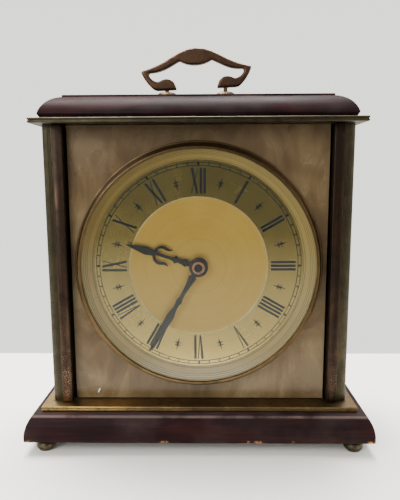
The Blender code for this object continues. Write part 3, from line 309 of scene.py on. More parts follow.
def marbled(name):
    f = Finish(name)
    cloud = f.noise(62, 2, (1.5, 1, 1), 0.45, 1.6)
    swirl = f.noise(24, 4, (1, 1, 2.2), 0.55, 2.8)
    band = (cloud * 0.55 + swirl * 0.45 - 0.5) * 1.35 + 0.5
    colour = f.ramp(band, [
        (0.25, (0.075, 0.046, 0.021)), (0.41, (0.112, 0.072, 0.034)), (0.55, (0.155, 0.105, 0.05)),
        (0.68, (0.21, 0.15, 0.078)), (0.85, (0.29, 0.22, 0.125))])
    vein = (band - 0.52).size().fade(0.018, 0.0) * f.noise(9, 3).fade(0.45, 0.7)
    colour = f.mix(vein * 0.12, colour, (0.5, 0.41, 0.28))
    # Painted shade: the panel darkens towards its top, where the top plate shades it.
    painted_shade_at_top = (panel_high.z - f.z).fade(45, 0) * 0.35
    colour = f.mix(painted_shade_at_top, colour, (0.05, 0.035, 0.025))
    nick_x, nick_z = f.x - (panel_low.x + 13.2), f.z - (panel_low.z + 4.4)
    nick = (nick_x - nick_z * 0.45).size().fade(0.5, 0.2) * nick_z.size().fade(1.6, 0.9)
    colour = f.mix(nick, colour, (0.85, 0.82, 0.76))
    roughness = f.noise(30, 4).fade(0.3, 0.8) * 0.14 + 0.2
    return f.surface(colour, roughness, height=swirl - nick, depth=0.02, Specular_IOR_Level=0.3)


FINISHES["marbled_panel"] = marbled("marbled_panel")
print("marbled panel", [round(v, 1) for v in panel_high - panel_low])

# %% [markdown]
# ## Metals
# Nearly every other surface is metal in some state: polished, browned or rubbed bare. One function
# covers them. Three colours go from clean to tarnished, broad noise decides where, and fine noise,
# drawn out along the piece or turned round the dial's axis, makes the brushing.


# %% Metal
def metal(name, clean, dull, dark, rough=(0.25, 0.45), wear=0.5, size=12.0, brush=(1, 1, 1),
          speckle=0.0, depth=0.006, rings=False, rubbed_left=False):
    f = Finish(name)
    patch = f.noise(size, 5, roughness=0.65, warp=0.6)
    shade = patch.fade(wear - 0.22, wear + 0.22)
    if rubbed_left:
        # The clean colour gains towards the left and the dull one towards the right.
        shade = (shade * 0.5 + f.x.fade(-75, 10) * 0.75 - 0.15).fade(0.0, 1.0)
    colour = f.mix(shade, clean, dull)
    stain = f.noise(size * 0.3, 4, roughness=0.7).fade(0.52, 0.72)
    colour = f.mix(stain * 0.55, colour, dark)
    if rings:
        lines = f.rings(0.16)
    else:
        lines = f.noise(0.25, 3, brush)
    colour = f.mix(lines.fade(0.3, 0.8) * 0.12, colour, dark)
    if speckle:
        low_left = f.z.fade(90, 40) * 0.8 + 0.1 - f.x.fade(-60, 60) * 0.35
        specks = f.noise(0.6, 3).fade(0.52, 0.66) * f.noise(9, 3).fade(0.38, 0.6) * low_left * speckle
        colour = f.mix(f.math("MAXIMUM", specks, 0.0), colour, (0.5, 0.32, 0.2))
    roughness = shade * (rough[1] - rough[0]) + lines * 0.06 + (rough[0] - 0.03)
    roughness = roughness + stain * 0.08
    return f.surface(colour, roughness, 1.0, height=lines * 0.6 + stain * 0.4, depth=depth)


FINISHES |= {
    "worn_brass": metal("worn_brass", (0.38, 0.25, 0.09), (0.13, 0.085, 0.04), (0.04, 0.025, 0.013),
                        (0.3, 0.48), 0.5, 18, (30, 1, 1), rubbed_left=True),
    "aged_brass": metal("aged_brass", (0.062, 0.05, 0.028), (0.034, 0.028, 0.017), (0.013, 0.01, 0.007),
                        (0.35, 0.5), 0.45, 18, (1, 1, 30), depth=0.01),
    "bronze": metal("bronze", (0.06, 0.034, 0.022), (0.028, 0.019, 0.014), (0.012, 0.009, 0.008),
                    (0.32, 0.5), 0.42, 20, (1, 1, 20), speckle=0.5, depth=0.012),
    "foot_bronze": metal("foot_bronze", (0.13, 0.1, 0.06), (0.055, 0.043, 0.028), (0.02, 0.016, 0.012),
                         (0.35, 0.5), 0.4, 5),
    "handle_bronze": metal("handle_bronze", (0.13, 0.07, 0.04), (0.065, 0.038, 0.024), (0.025, 0.017, 0.013),
                           (0.38, 0.55), 0.45, 9, speckle=0.25, depth=0.02),
    "bezel_bronze": metal("bezel_bronze", (0.17, 0.108, 0.048), (0.09, 0.058, 0.027), (0.032, 0.021, 0.012),
                          (0.28, 0.42), 0.5, 22, rings=True, depth=0.012),
    "bright_brass": metal("bright_brass", (0.5, 0.34, 0.11), (0.32, 0.215, 0.08), (0.11, 0.075, 0.04),
                          (0.2, 0.38), 0.55, 6),
    "copper_brass": metal("copper_brass", (0.85, 0.48, 0.26), (0.6, 0.32, 0.17), (0.2, 0.1, 0.06),
                          (0.22, 0.35), 0.5, 3),
    "gear_brass": metal("gear_brass", (0.68, 0.48, 0.2), (0.5, 0.34, 0.14), (0.2, 0.13, 0.06),
                        (0.22, 0.34), 0.6, 5, rings=True),
    "steel": metal("steel", (0.55, 0.54, 0.52), (0.4, 0.39, 0.38), (0.15, 0.13, 0.11), (0.24, 0.4), 0.55, 6),
    "copper_wire": metal("copper_wire", (0.7, 0.3, 0.13), (0.45, 0.17, 0.07), (0.2, 0.07, 0.03),
                         (0.25, 0.35), 0.5, 3, (8, 8, 1), depth=0.05),
}
rosette_brass = metal("rosette_brass", (0.26, 0.18, 0.08), (0.16, 0.11, 0.05), (0.06, 0.04, 0.02),
                      (0.32, 0.45), 0.5, 4)
print(len(FINISHES), "finishes so far")

# %% [markdown]
# ## Gilt, spun brass and print
# The reflector ring and the dial are lacquered gilt: brighter than the other brass, and fine
# turning marks break their shine into soft arcs. The centre disc has deeper marks, a painted
# highlight along its rim and a faint circle round its middle.


# %% Gilt and spun brass
def spun(name, clean, dull, rough, pitch, depth, metallic=1.0, marks=()):
    f = Finish(name)
    lines = f.rings(pitch)
    broad = f.rings(pitch * 14)
    shade = f.noise(28, 4, warp=0.8).fade(0.3, 0.75)
    colour = f.mix(shade * 0.4 + lines * 0.25 + broad.fade(0.3, 0.8) * 0.35, clean, dull)
    haze = f.noise(2.2, 4).fade(0.62, 0.8)
    colour = f.mix(haze * 0.25, colour, [c * 0.45 for c in dull])
    for radius, width, tint, strength in marks:
        mark = (f.radius() - radius).size().fade(width, width * 0.3)
        colour = f.mix(mark * strength, colour, tint)
    roughness = shade * 0.08 + lines * 0.1 + rough
    return f.surface(colour, roughness, metallic, height=lines * 0.6 + broad * 0.8, depth=depth)


disc_radius = box("dial_centre_disc")[1].x
ring_out = box("reflector")[1].x
OLD_LACQUER = (0.3, 0.2, 0.08)
FAINT_CIRCLE_R = 15.8
FINISHES["gilt"] = spun("gilt", (1.0, 0.78, 0.30), (0.92, 0.68, 0.24), 0.40, 0.22, 0.02, 0.15,
                        [(ring_out - inset, 0.22, OLD_LACQUER, 0.6) for inset in (0.5, 1.2, 1.9, 2.6)]
                        + [(ring_out - 4.9, 0.3, OLD_LACQUER, 0.5)])
FINISHES["dial_gilt"] = spun("dial_gilt", (0.60, 0.44, 0.135), (0.5, 0.37, 0.11), 0.15, 0.3, 0.003)
FINISHES["centre_brass"] = spun("centre_brass", (1.0, 0.66, 0.14), (0.88, 0.54, 0.09), 0.34, 0.19, 0.03, 0.6,
                                [(FAINT_CIRCLE_R, 0.25, (0.5, 0.33, 0.1), 0.25),
                                 # Painted highlight: a pale line just inside the disc's edge, where the
                                 # rolled rim catches the light.
                                 (disc_radius - 0.3, 0.4, (1.0, 0.9, 0.55), 0.85)])
print("centre disc", round(disc_radius, 1), "mm radius")

# %% [markdown]
# ## Enamel, plastic, rubber and board
# These are not metal, so they differ mostly in colour, gloss and in the grain of the surface:
# moulded plastic has a fine spark-eroded texture, hardboard has fibres and enamel is nearly smooth.


# %% Plain finishes
def moulded(name, colour, rough, grain=0.35, depth=0.01, stretch=(1, 1, 1), mottle=0.25):
    f = Finish(name)
    fine = f.noise(grain, 3, stretch)
    broad = f.noise(16, 4).fade(0.3, 0.75)
    paint = f.mix(broad * mottle, colour, [c * 0.6 + 0.01 for c in colour])
    paint = f.mix(fine.fade(0.45, 0.75) * mottle, paint, [min(1, c * 1.4 + 0.01) for c in colour])
    dust = f.noise(5, 5).fade(0.55, 0.85)
    paint = f.mix(dust * 0.03, paint, (0.4, 0.37, 0.33))
    roughness = fine * 0.12 + dust * 0.15 + (rough - 0.06)
    return f.surface(paint, roughness, height=fine, depth=depth)


def battery_case(name):
    """A plain sleeve with bare steel ends and a paler band at the positive end."""
    f = Finish(name)
    low, high = box("battery")
    sleeve = (f.x - low.x).fade(1.9, 2.1) * (high.x - f.x).fade(0.5, 0.7)
    band = (f.x - low.x).fade(11.2, 10.9)
    fine = f.noise(1.2, 3)
    paint = f.mix(band, (0.035, 0.05, 0.09), (0.42, 0.4, 0.34))
    paint = f.mix(f.noise(7, 4).fade(0.5, 0.8) * 0.15, paint, (0.25, 0.24, 0.22))
    colour = f.mix(sleeve, (0.6, 0.6, 0.58), paint)
    return f.surface(colour, fine * 0.1 + 0.26, 1 - sleeve * 0.85, height=fine, depth=0.004)


FINISHES |= {
    "hand_black": moulded("hand_black", (0.008, 0.006, 0.007), 0.5, 0.5, 0.004, mottle=0.1),
    "black_plastic": moulded("black_plastic", (0.022, 0.022, 0.024), 0.48, 0.3, 0.015),
    "pale_plastic": moulded("pale_plastic", (0.72, 0.7, 0.64), 0.4, 0.4, 0.005, mottle=0.1),
    "rubber": moulded("rubber", (0.02, 0.02, 0.02), 0.85, 0.4, 0.02),
    "board_green": moulded("board_green", (0.02, 0.13, 0.05), 0.4, 0.6, 0.01),
    "back_board": moulded("back_board", (0.045, 0.024, 0.014), 0.6, 0.5, 0.03, (5, 1, 2), 0.5),
    "battery_case": battery_case("battery_case"),
}
ink = moulded("dial_ink", (0.014, 0.02, 0.027), 0.5, 0.4, 0.003, mottle=0.1)
print(len(FINISHES), "finishes")

# %% [markdown]
# ## Glass
# Flat clock glass is all reflection and no colour. It could be a refracting solid, but then its
# shadow and the bent light need many samples. Here it lets light straight through, and a Fresnel
# factor mixes in the mirror that real glass has at a glance, with a trace of dust.


# %% Glass
def clear_glass(name):
    f = Finish(name)
    clear = f.node("ShaderNodeBsdfTransparent", inputs={0: (0.97, 0.98, 0.97)})
    mirror = f.node("ShaderNodeBsdfPrincipled", inputs={
        "Base Color": (1, 1, 1), "Metallic": 1.0, "Roughness": 0.02})
    dust = f.noise(3, 5).fade(0.6, 0.85) * 0.015
    share = f.node("ShaderNodeFresnel", inputs={"IOR": 1.5}) + dust
    return f.show(f.node("ShaderNodeMixShader", inputs={0: share, 1: clear, 2: mirror}))


FINISHES["clear_glass"] = clear_glass("clear_glass")
missing = sorted(set(SLOT_OF.values()) - set(FINISHES))
print("slots without a finish:", missing)

# %% [markdown]
# ## Making pieces
# Three ways of making a mesh cover this clock. A skin over rings of points does for rails and
# pillars; turning a profile does for bezels, rosettes and feet; and a copy of a model's own piece,
# with its edges eased, does for flat work. `fit` then says which body the piece rides on and
# hides the roughed-out piece it stands for.


# %% Mesh helpers
def add_piece(name, points, faces, finish, sharp=35):
    shape = bmesh.new()
    verts = [shape.verts.new(Vector(point) * MM) for point in points]
    for face in faces:
        shape.faces.new([verts[k] for k in face])
    bmesh.ops.recalc_face_normals(shape, faces=shape.faces)
    mesh = bpy.data.meshes.new(name)
    shape.to_mesh(mesh)
    shape.free()
    return as_piece(name, mesh, finish, sharp)


def as_piece(name, mesh, finish, sharp=35):
    mesh.materials.clear()
    mesh.materials.append(finish)
    mesh.shade_smooth()
    mesh.set_sharp_from_angle(angle=math.radians(sharp))
    piece = bpy.data.objects.new(name, mesh)
    bpy.context.scene.collection.objects.link(piece)
    return piece


def fit(piece, node):
    """The piece stands for a model's piece: same body, and the model's piece is hidden."""
    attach(piece, NODES[node]["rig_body"])
    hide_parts(node)
    return piece


def skin(name, rings, finish, sharp=35):
    """Rings of equally many points, joined, with a cap at each end."""
    count = len(rings[0])
    points = [point for ring in rings for point in ring]
    faces = [tuple(range(count)), tuple(range(len(points) - count, len(points)))]
    for start in range(0, len(points) - count, count):
        for k in range(count):
            a, b = start + k, start + (k + 1) % count
            faces.append((a, b, b + count, a + count))
    return add_piece(name, points, faces, finish, sharp)


# %% Turning
def turned(name, profile, centre, finish, axis="Y", sides=192, ring=True):
    """Revolves (radius, distance) points. A ring's profile closes on itself."""
    def at(radius, distance, angle):
        c, s = radius * math.cos(angle), radius * math.sin(angle)
        offsets = {"Y": (c, distance, s), "Z": (c, s, distance), "X": (distance, c, s)}
        return Vector(centre) + Vector(offsets[axis])

    points, rows = [], []
    for radius, distance in profile:
        if radius == 0:
            rows.append([len(points)] * sides)
            points.append(at(0, distance, 0))
        else:
            rows.append([len(points) + k for k in range(sides)])
            points += [at(radius, distance, math.tau * k / sides) for k in range(sides)]
    faces = []
    for n in range(len(rows) if ring else len(rows) - 1):
        first, second = rows[n], rows[(n + 1) % len(rows)]
        for k in range(sides):
            face = dict.fromkeys((first[k], first[(k + 1) % sides], second[(k + 1) % sides], second[k]))
            if len(face) > 2:
                faces.append(tuple(face))
    return add_piece(name, points, faces, finish)


def arc(centre, radius, start, end, steps):
    """Points from one angle to another, in degrees."""
    angles = [math.radians(start + (end - start) * k / steps) for k in range(steps + 1)]
    return [(centre[0] + radius * math.cos(a), centre[1] + radius * math.sin(a)) for a in angles]


# %% Copies with eased edges
def welded(node):
    """A copy of a model's mesh as one skin: its triangles are loose until they are merged."""
    shape = bmesh.new()
    shape.from_mesh(NODES[node].data)
    bmesh.ops.remove_doubles(shape, verts=shape.verts, dist=2e-6)
    bmesh.ops.dissolve_limit(shape, angle_limit=math.radians(1), verts=shape.verts, edges=shape.edges)
    mesh = bpy.data.meshes.new(node)
    shape.to_mesh(mesh)
    shape.free()
    for layer in [a for a in mesh.attributes if a.name == "custom_normal"]:
        mesh.attributes.remove(layer)
    return mesh


def applied(thing):
    """A thing's mesh with its modifiers worked in."""
    bpy.context.view_layer.update()
    return bpy.data.meshes.new_from_object(thing.evaluated_get(bpy.context.evaluated_depsgraph_get()))


def eased(node, width, finish=None):
    """A copy of a model's piece whose sharp edges are rounded by a width in millimetres."""
    thing = as_piece(f"{node}_eased", welded(node), finish or FINISHES[SLOT_OF[node]])
    bevel = thing.modifiers.new("eased edges", "BEVEL")
    bevel.width, bevel.segments = width * MM, 2
    bevel.limit_method, bevel.angle_limit = "ANGLE", math.radians(32)
    bevel.use_clamp_overlap = True
    mesh = applied(thing)
    thing.modifiers.clear()
    thing.data = mesh
    mesh.shade_smooth()
    mesh.set_sharp_from_angle(angle=math.radians(50))
    return fit(thing, node)


print("mesh helpers ready")

# %% [markdown]
# ## Boards, plates and back
# The moulded boards and the flat work keep the model's shape, because its profiles are already
# right. What a real one has and the model lacks is a worked edge: a joiner breaks every arris
# with sandpaper, and a brass plate is deburred.

# %% Flat work
EASED = {"base_board": 0.45, "top_board": 0.3, "base_plate": 0.07, "top_plate": 0.07,
         "rear_panel": 0.25, "rear_door": 0.15, "hinge_case_leaf": 0.1, "hinge_door_leaf": 0.1,
         "movement_front_case": 0.25, "movement_rear_case": 0.3, "circuit_board": 0.1,
         "hour_hand": 0.09, "minute_hand": 0.09, "contact_positive": 0.05, "contact_negative": 0.05}
for node, width in EASED.items():
    piece = eased(node, width)
    print(piece.name, len(piece.data.polygons), "faces")
for hand in ("left", "right"):
    eased(f"side_panel_{hand}", 0.3, side_wood)

# %% [markdown]
# ## Pillars
# Each pillar is an extruded brass section whose rounded outer corner is finely reeded. An
# extrusion is a constant outline, so a skin over two rings is all it needs. The reeds are in the
# outline itself: small scallops cut into the corner. The flat strip in front is a second
# extrusion, with its long edges rubbed round.

# %% Pillars
REED_PITCH, REED_DEPTH, REED_STEPS = 0.85, 0.16, 6
CORNER_R, CORNER_STEPS = 6.0, 24
GAP = 0.3  # room between fitted pieces


def scalloped(path, normals):
    """A path with shallow scallops cut into it, each one pitch long."""
    out, travelled = [path[0]], 0.0
    for (a, b), (n_a, n_b) in zip(zip(path, path[1:]), zip(normals, normals[1:])):
        length = math.dist(a, b)
        steps = max(1, round(length / (REED_PITCH / REED_STEPS)))
        for k in range(1, steps + 1):
            t = k / steps
            x, y = (a[0] + (b[0] - a[0]) * t, a[1] + (b[1] - a[1]) * t)
            n = (n_a[0] + (n_b[0] - n_a[0]) * t, n_a[1] + (n_b[1] - n_a[1]) * t)
            cut = REED_DEPTH * abs(math.sin(math.pi * (travelled + length * t) / REED_PITCH)) - REED_DEPTH
            out.append((x + n[0] * cut, y + n[1] * cut))
        travelled += length
    return out


def pillar(side, hand):
    """The outline follows the model's: seat, front step, reeded corner, back."""
    node = f"pillar_{hand}"
    low, high = box(node)
    strip_low, strip_high = box(f"pillar_strip_{hand}")
    inner, outer = sorted((abs(low.x), abs(high.x)))
    strip_in, strip_out = sorted((abs(strip_low.x), abs(strip_high.x)))
    step_x, painted_highlight = strip_out + GAP, low.y
    seat = box("front_panel")[1].y + GAP
    front = strip_high.y + GAP
    chamfer = 0.3
    path = arc((outer - CORNER_R, painted_highlight + CORNER_R), CORNER_R, -90, 0, CORNER_STEPS)
    normals = arc((0, 0), 1, -90, 0, CORNER_STEPS)
    outline = [(strip_in, front), (step_x, front), (step_x, painted_highlight)] + scalloped(path, normals)
    outline += [(outer, high.y - chamfer), (outer - chamfer, high.y), (inner, high.y), (inner, seat),
                (strip_in, seat)]
    rings = [[(side * x, y, z) for x, y in outline] for z in (low.z, high.z)]
    return fit(skin(f"reeded_{node}", rings, FINISHES["aged_brass"], 50), node)


def strip(side, hand):
    node = f"pillar_strip_{hand}"
    low, high = box(node)
    x_in, x_out = sorted((abs(low.x), abs(high.x)))
    r, crown = 0.55, 0.12
    outline = [(x_in, high.y)] + arc((x_in + r, low.y + crown + r), r, 180, 262, 5)
    outline += [((x_in + x_out) / 2, low.y)]
    outline += arc((x_out - r, low.y + crown + r), r, 278, 360, 5) + [(x_out, high.y)]
    end = 0.25
    rings = []
    for z, inset in ((low.z, end), (low.z + end, 0), (high.z - end, 0), (high.z, end)):
        rings.append([(side * x, max(y, low.y + inset), z) for x, y in outline])
    return fit(skin(f"rubbed_{node}", rings, FINISHES["bronze"]), node)


for side, hand in ((-1, "left"), (1, "right")):
    print(pillar(side, hand).name, strip(side, hand).name)

# %% [markdown]
# ## Bezel and reflector
# The bezel is a spun cone of browned bronze, with a bead at its foot and shallow grooves round its
# slope. The reflector inside is a gilt funnel whose outer part is grooved too. Both are turned
# from one profile each; the grooves are in the profile, because at this size they catch light as
# lines.


# %% Grooved slopes
FUNNEL_W = 5.5  # how far the reflector widens
GROOVE_STEPS = 6  # points down each groove


def grooved(start, end, count, depth):
    """Points down a slope with round-bottomed grooves cut below the straight line."""
    dx, dy = end[0] - start[0], end[1] - start[1]
    length = math.hypot(dx, dy)
    normal = (dy / length, -dx / length)
    points = []
    steps = count * GROOVE_STEPS
    for k in range(steps + 1):
        t = k / steps
        cut = depth * math.sin(math.pi * t * count) ** 2
        points.append((start[0] + dx * t - normal[0] * cut, start[1] + dy * t - normal[1] * cut))
    return points


def bezel():
    low, high = box("bezel")
    glass_r = box("glass")[1].x
    foot = panel_low.y - GAP
    outer, lip = high.x, glass_r - 0.4
    skirt_in, skirt_out = glass_r + 0.6, glass_r + 1.6
    front = low.y
    glass_front = box("glass")[0].y - GAP
    profile = [(lip, glass_front), (lip, front + 0.12), (lip + 0.12, front)]
    profile += arc((glass_r + 0.7, front + 0.42), 0.42, 270, 330, 4)
    slope_end = (outer - 1.0, foot - 1.15)
    profile += grooved((glass_r + 1.35, front + 0.75), slope_end, 7, 0.1)
    profile += arc((outer - 0.6, foot - 0.6), 0.6, 250, 360, 8) + [(outer, foot)]
    profile += [(skirt_out, foot), (skirt_out, high.y), (skirt_in, high.y),
                (skirt_in, front + 2.9), (glass_r + 0.3, front + 2.5), (glass_r + 0.3, glass_front)]
    return fit(turned("spun_bezel", profile, AXIS, FINISHES["bezel_bronze"], sides=256), "bezel")


def reflector():
    low, high = box("reflector")
    wide, back, front = high.x, high.y, low.y
    narrow = wide - FUNNEL_W
    bend = (narrow + 3.3, back + (front - back) * 0.64)
    profile = [(narrow, back), bend] + grooved(bend, (wide - 0.5, front), 5, 0.16)[1:]
    profile += [(wide, front), (wide, front + 0.4), (narrow + 0.7, back)]
    return fit(turned("grooved_reflector", profile, AXIS, FINISHES["gilt"], sides=256), "reflector")


print(bezel().name, reflector().name)

# %% [markdown]
# ## Copies round the dial
# Minute ticks, hour diamonds and half-hour marks repeat round a circle. Geometry Nodes suit that:
# one small tree puts a copy of any mark on each of a number of points, turned to face outwards.
# The same tree makes the ribs of the setting knob.


# %% A tree that repeats a mark round a circle
def ring_tree():
    group = bpy.data.node_groups.new("ring_of_copies", "GeometryNodeTree")
    kinds = {"Count": "Int", "Radius": "Float", "Start": "Float", "Mark": "Object", "Finish": "Material"}
    keys = {name: group.interface.new_socket(name, in_out="INPUT", socket_type=f"NodeSocket{kind}").identifier
            for name, kind in kinds.items()}
    group.interface.new_socket("Geometry", in_out="OUTPUT", socket_type="NodeSocketGeometry")
    tree = Tree(group)
    given = {name: tree.node("NodeGroupInput", out=k) for k, name in enumerate(kinds)}
    angle = tree.node("GeometryNodeInputIndex") * math.tau / given["Count"] + given["Start"]
    across = tree.math("SINE", angle) * given["Radius"]
    up = tree.math("COSINE", angle) * given["Radius"]
    place = tree.node("ShaderNodeCombineXYZ", inputs={"X": across, "Z": up})
    turn = tree.node("ShaderNodeCombineXYZ", inputs={"Y": angle})
    points = tree.node("GeometryNodePoints", inputs={"Count": given["Count"], "Position": place})
    mark = tree.node("GeometryNodeObjectInfo", inputs={"Object": given["Mark"]}, out="Geometry")
    copies = tree.node("GeometryNodeInstanceOnPoints", inputs={
        "Points": points, "Instance": mark, "Rotation": turn})
    solid = tree.node("GeometryNodeRealizeInstances", inputs={"Geometry": copies})
    tree.node("NodeGroupOutput", inputs={0: tree.node("GeometryNodeSetMaterial", inputs={
        "Geometry": solid, "Material": given["Finish"]})}, out=None)
    return group, keys


RING, RING_KEYS = ring_tree()


def ring_of(name, mark, count, radius, finish, centre, start=0.0):
    """Copies of a mark round a circle, as one plain mesh. The mark points up, and is used up."""
    mesh = bpy.data.meshes.new(name)
    carrier = bpy.data.objects.new(name, mesh)
    bpy.context.scene.collection.objects.link(carrier)
    copies = carrier.modifiers.new("copies", "NODES")
    copies.node_group = RING
    values = {"Count": count, "Radius": radius * MM, "Start": math.radians(start), "Mark": mark,
              "Finish": finish}
    for key, value in values.items():
        copies[RING_KEYS[key]] = value
    solid = applied(carrier)
    bpy.data.objects.remove(carrier)
    bpy.data.objects.remove(mark)
    solid.transform(Matrix.Translation(Vector(centre) * MM))
    solid.name = name
    piece = as_piece(name, solid, finish)
    print(name, count, "copies,", len(solid.polygons), "faces")
    return piece


# %% [markdown]
# ## Print on the dial
# Real numerals are silk-screened ink a few hundredths of a millimetre thick. They are made here as
# thin prisms, so they stay crisp at any distance. Each Roman numeral is built from the letters I,
# V and X, whose falling strokes are thick and rising strokes thin. All stand with their feet
# towards the centre.

# %% Numerals
PRINT_T, PRINT_SINK = 0.05, 0.02
INK_BACK, INK_FRONT = DIAL_FACE + PRINT_SINK, DIAL_FACE - PRINT_T
NUMERAL_IN, NUMERAL_OUT = 40.9, 55.0
THICK, THIN, SPACE = 1.4, 0.5, 0.68
WIDTHS = {"I": THICK, "V": 3.5, "X": 4.3}
NUMERALS = ["XII", "I", "II", "III", "IIII", "V", "VI", "VII", "VIII", "IX", "X", "XI"]


def strokes(letter, left):
    """Quadrilaterals of a letter, as (across, up) with up from 0 at its feet to 1."""
    width = WIDTHS[letter]
    if letter == "I":
        return [[(left, 0), (left + THICK, 0), (left + THICK, 1), (left, 1)]]
    if letter == "V":
        foot = left + width * 0.58
        return [[(foot - THICK * 0.35, 0), (foot + THIN * 0.5, 0), (left + THICK, 1), (left, 1)],
                [(foot - THIN * 0.3, 0), (foot + THIN * 0.7, 0), (left + width, 1), (left + width - THIN, 1)]]
    return [[(left + width - THICK, 0), (left + width, 0), (left + THICK, 1), (left, 1)],
            [(left, 0), (left + THIN, 0), (left + width, 1), (left + width - THIN, 1)]]


def printed(name, shapes, finish):
    """Flat shapes on the dial's face, as (x, z) points from its axis, with the thickness of ink."""
    points, faces = [], []
    for shape in shapes:
        start, count = len(points), len(shape)
        for y in (INK_BACK, INK_FRONT):
            points += [AXIS + Vector((x, y, z)) for x, z in shape]
        faces += [tuple(range(start, start + count)), tuple(range(start + count, start + 2 * count))]
        for k in range(count):
            a, b = start + k, start + (k + 1) % count
            faces.append((a, b, b + count, a + count))
    return add_piece(name, points, faces, finish, 20)


def numeral_shapes():
    shapes = []
    for hour, letters in enumerate(NUMERALS):
        angle = math.radians(30 * hour)
        total = sum(WIDTHS[letter] for letter in letters) + SPACE * (len(letters) - 1)
        left = -total / 2
        for letter in letters:
            for stroke in strokes(letter, left):
                shape = []
                for across, up in stroke:
                    r = NUMERAL_IN + up * (NUMERAL_OUT - NUMERAL_IN)
                    shape.append((r * math.sin(angle) + across * math.cos(angle),
                                  r * math.cos(angle) - across * math.sin(angle)))
                shapes.append(shape)
            left += WIDTHS[letter] + SPACE
    return shapes


def on_dial(piece):
    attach(piece, "case")
    return piece


numerals = on_dial(printed("numerals", numeral_shapes(), ink))
print("numerals", len(numerals.data.polygons), "faces")

# %% [markdown]
# The minute track is two fine circles with a tick for each minute and a small diamond at each
# hour. A half hour has a slim star: a long thin diamond with two short bars across it.

# %% Minute track and marks
TRACK_IN, TRACK_OUT, LINE = 56.3, 58.15, 0.4
MARK_R, MARK_L = 47.6, 8.4
BAR_HALF_W, BAR_HALF_T, BAR_AT = 1.7, 0.28, 0.85  # the two bars across a half-hour mark


def flat_mark(name, outlines):
    """A mark at the origin that points up, for the ring of copies."""
    piece = printed(name, outlines, ink)
    piece.data.transform(Matrix.Translation(-AXIS * MM))
    return piece


def diamond(half_w, half_h):
    return [(-half_w, 0), (0, half_h), (half_w, 0), (0, -half_h)]


def bar(half_w, half_h, z=0.0):
    return [(-half_w, z - half_h), (half_w, z - half_h), (half_w, z + half_h), (-half_w, z + half_h)]


def circle_line(name, radius):
    inner, outer = radius - LINE / 2, radius + LINE / 2
    profile = [(inner, INK_BACK), (outer, INK_BACK), (outer, INK_FRONT), (inner, INK_FRONT)]
    return turned(name, profile, AXIS, ink)


middle = (TRACK_IN + TRACK_OUT) / 2
tick = flat_mark("tick", [bar(0.3, (TRACK_OUT - TRACK_IN) / 2)])
on_dial(ring_of("minute_ticks", tick, 60, middle, ink, AXIS))
on_dial(ring_of("hour_diamonds", flat_mark("hour", [diamond(0.75, 1.25)]), 12, middle, ink, AXIS))
bars = [bar(BAR_HALF_W, BAR_HALF_T, z) for z in (BAR_AT, -BAR_AT)]
star = flat_mark("star", [diamond(0.6, MARK_L / 2)] + bars)
on_dial(ring_of("half_hour_marks", star, 12, MARK_R, ink, AXIS, start=15))
for name, radius in (("track_inner", TRACK_IN), ("track_outer", TRACK_OUT)):
    on_dial(circle_line(name, radius))

# %% [markdown]
# ## Dial, centre disc and glass
# The dial is a thin flat ring. The centre disc stands proud of it and has a bright rolled rim,
# which is the lightest line on the clock, so it is a real half-round in the profile.


# %% Dial parts
NUT_OVERLAP = 1.4  # how far the mounting nut covers the dial


def dial_parts():
    low, high = box("dial_plate")
    outer = high.x
    hole = box("mounting_nut")[1].x - NUT_OVERLAP
    edge = 0.1
    plate = [(hole, high.y), (hole, low.y), (outer - edge, low.y), (outer, low.y + edge), (outer, high.y)]
    fit(turned("dial_ring", plate, AXIS, FINISHES["dial_gilt"]), "dial_plate")
    low, high = box("dial_centre_disc")
    rim, outer = 0.3, high.x
    disc = [(hole, high.y), (hole, low.y + 0.1), (outer - 2 * rim, low.y + 0.1)]
    disc += arc((outer - rim, low.y + rim), rim, 230, 360, 8) + [(outer, high.y)]
    fit(turned("spun_disc", disc, AXIS, FINISHES["centre_brass"]), "dial_centre_disc")
    low, high = box("glass")
    r = 0.3
    pane = [(0, low.y), (high.x - r, low.y), (high.x, low.y + r), (high.x, high.y - r), (high.x - r, high.y),
            (0, high.y)]
    return fit(turned("clock_glass", pane, AXIS, FINISHES["clear_glass"], ring=False), "glass")


print(dial_parts().name)


# %% [markdown]
# ## Hand nut, rosettes, feet and knobs
# These are lathe work too. The nut has a chamfer outside and a countersink inside, the rosettes
# are pressed domes with a stepped rim, and the feet are small turned bun feet.


# %% Small turned pieces
def hand_nut():
    low, high = box("hand_nut")
    wall = 1.68
    r, hole = high.x, high.x - wall
    profile = [(hole, high.y), (hole, low.y + 0.5), (hole + 0.5, low.y + 0.05)]
    profile += [(r - 0.75, low.y)] + arc((r - 0.35, low.y + 0.35), 0.35, 250, 360, 5) + [(r, high.y)]
    return fit(turned("chamfered_nut", profile, AXIS, FINISHES["copper_brass"], sides=64), "hand_nut")


def rosette(hand):
    node = f"rosette_{hand}"
    low, high = box(node)
    centre = ((low.x + high.x) / 2, (low.y + high.y) / 2, 0)
    r, tall, hole = (high.x - low.x) / 2, high.z - low.z, 1.45
    profile = [(hole, low.z), (r, low.z), (r, low.z + 0.35), (r - 0.3, low.z + 0.6),
               (r - 0.75, low.z + 0.62), (r - 0.95, low.z + 0.9)]
    for k in range(1, 11):
        angle = math.pi / 2 * k / 10
        profile.append((hole + 0.5 + (r - 1.45 - hole) * math.cos(angle) ** 0.6,
                        low.z + 0.9 + (tall - 0.9) * math.sin(angle)))
    profile.append((hole, high.z))
    return fit(turned(f"pressed_{node}", profile, centre, rosette_brass, "Z", 96), node)


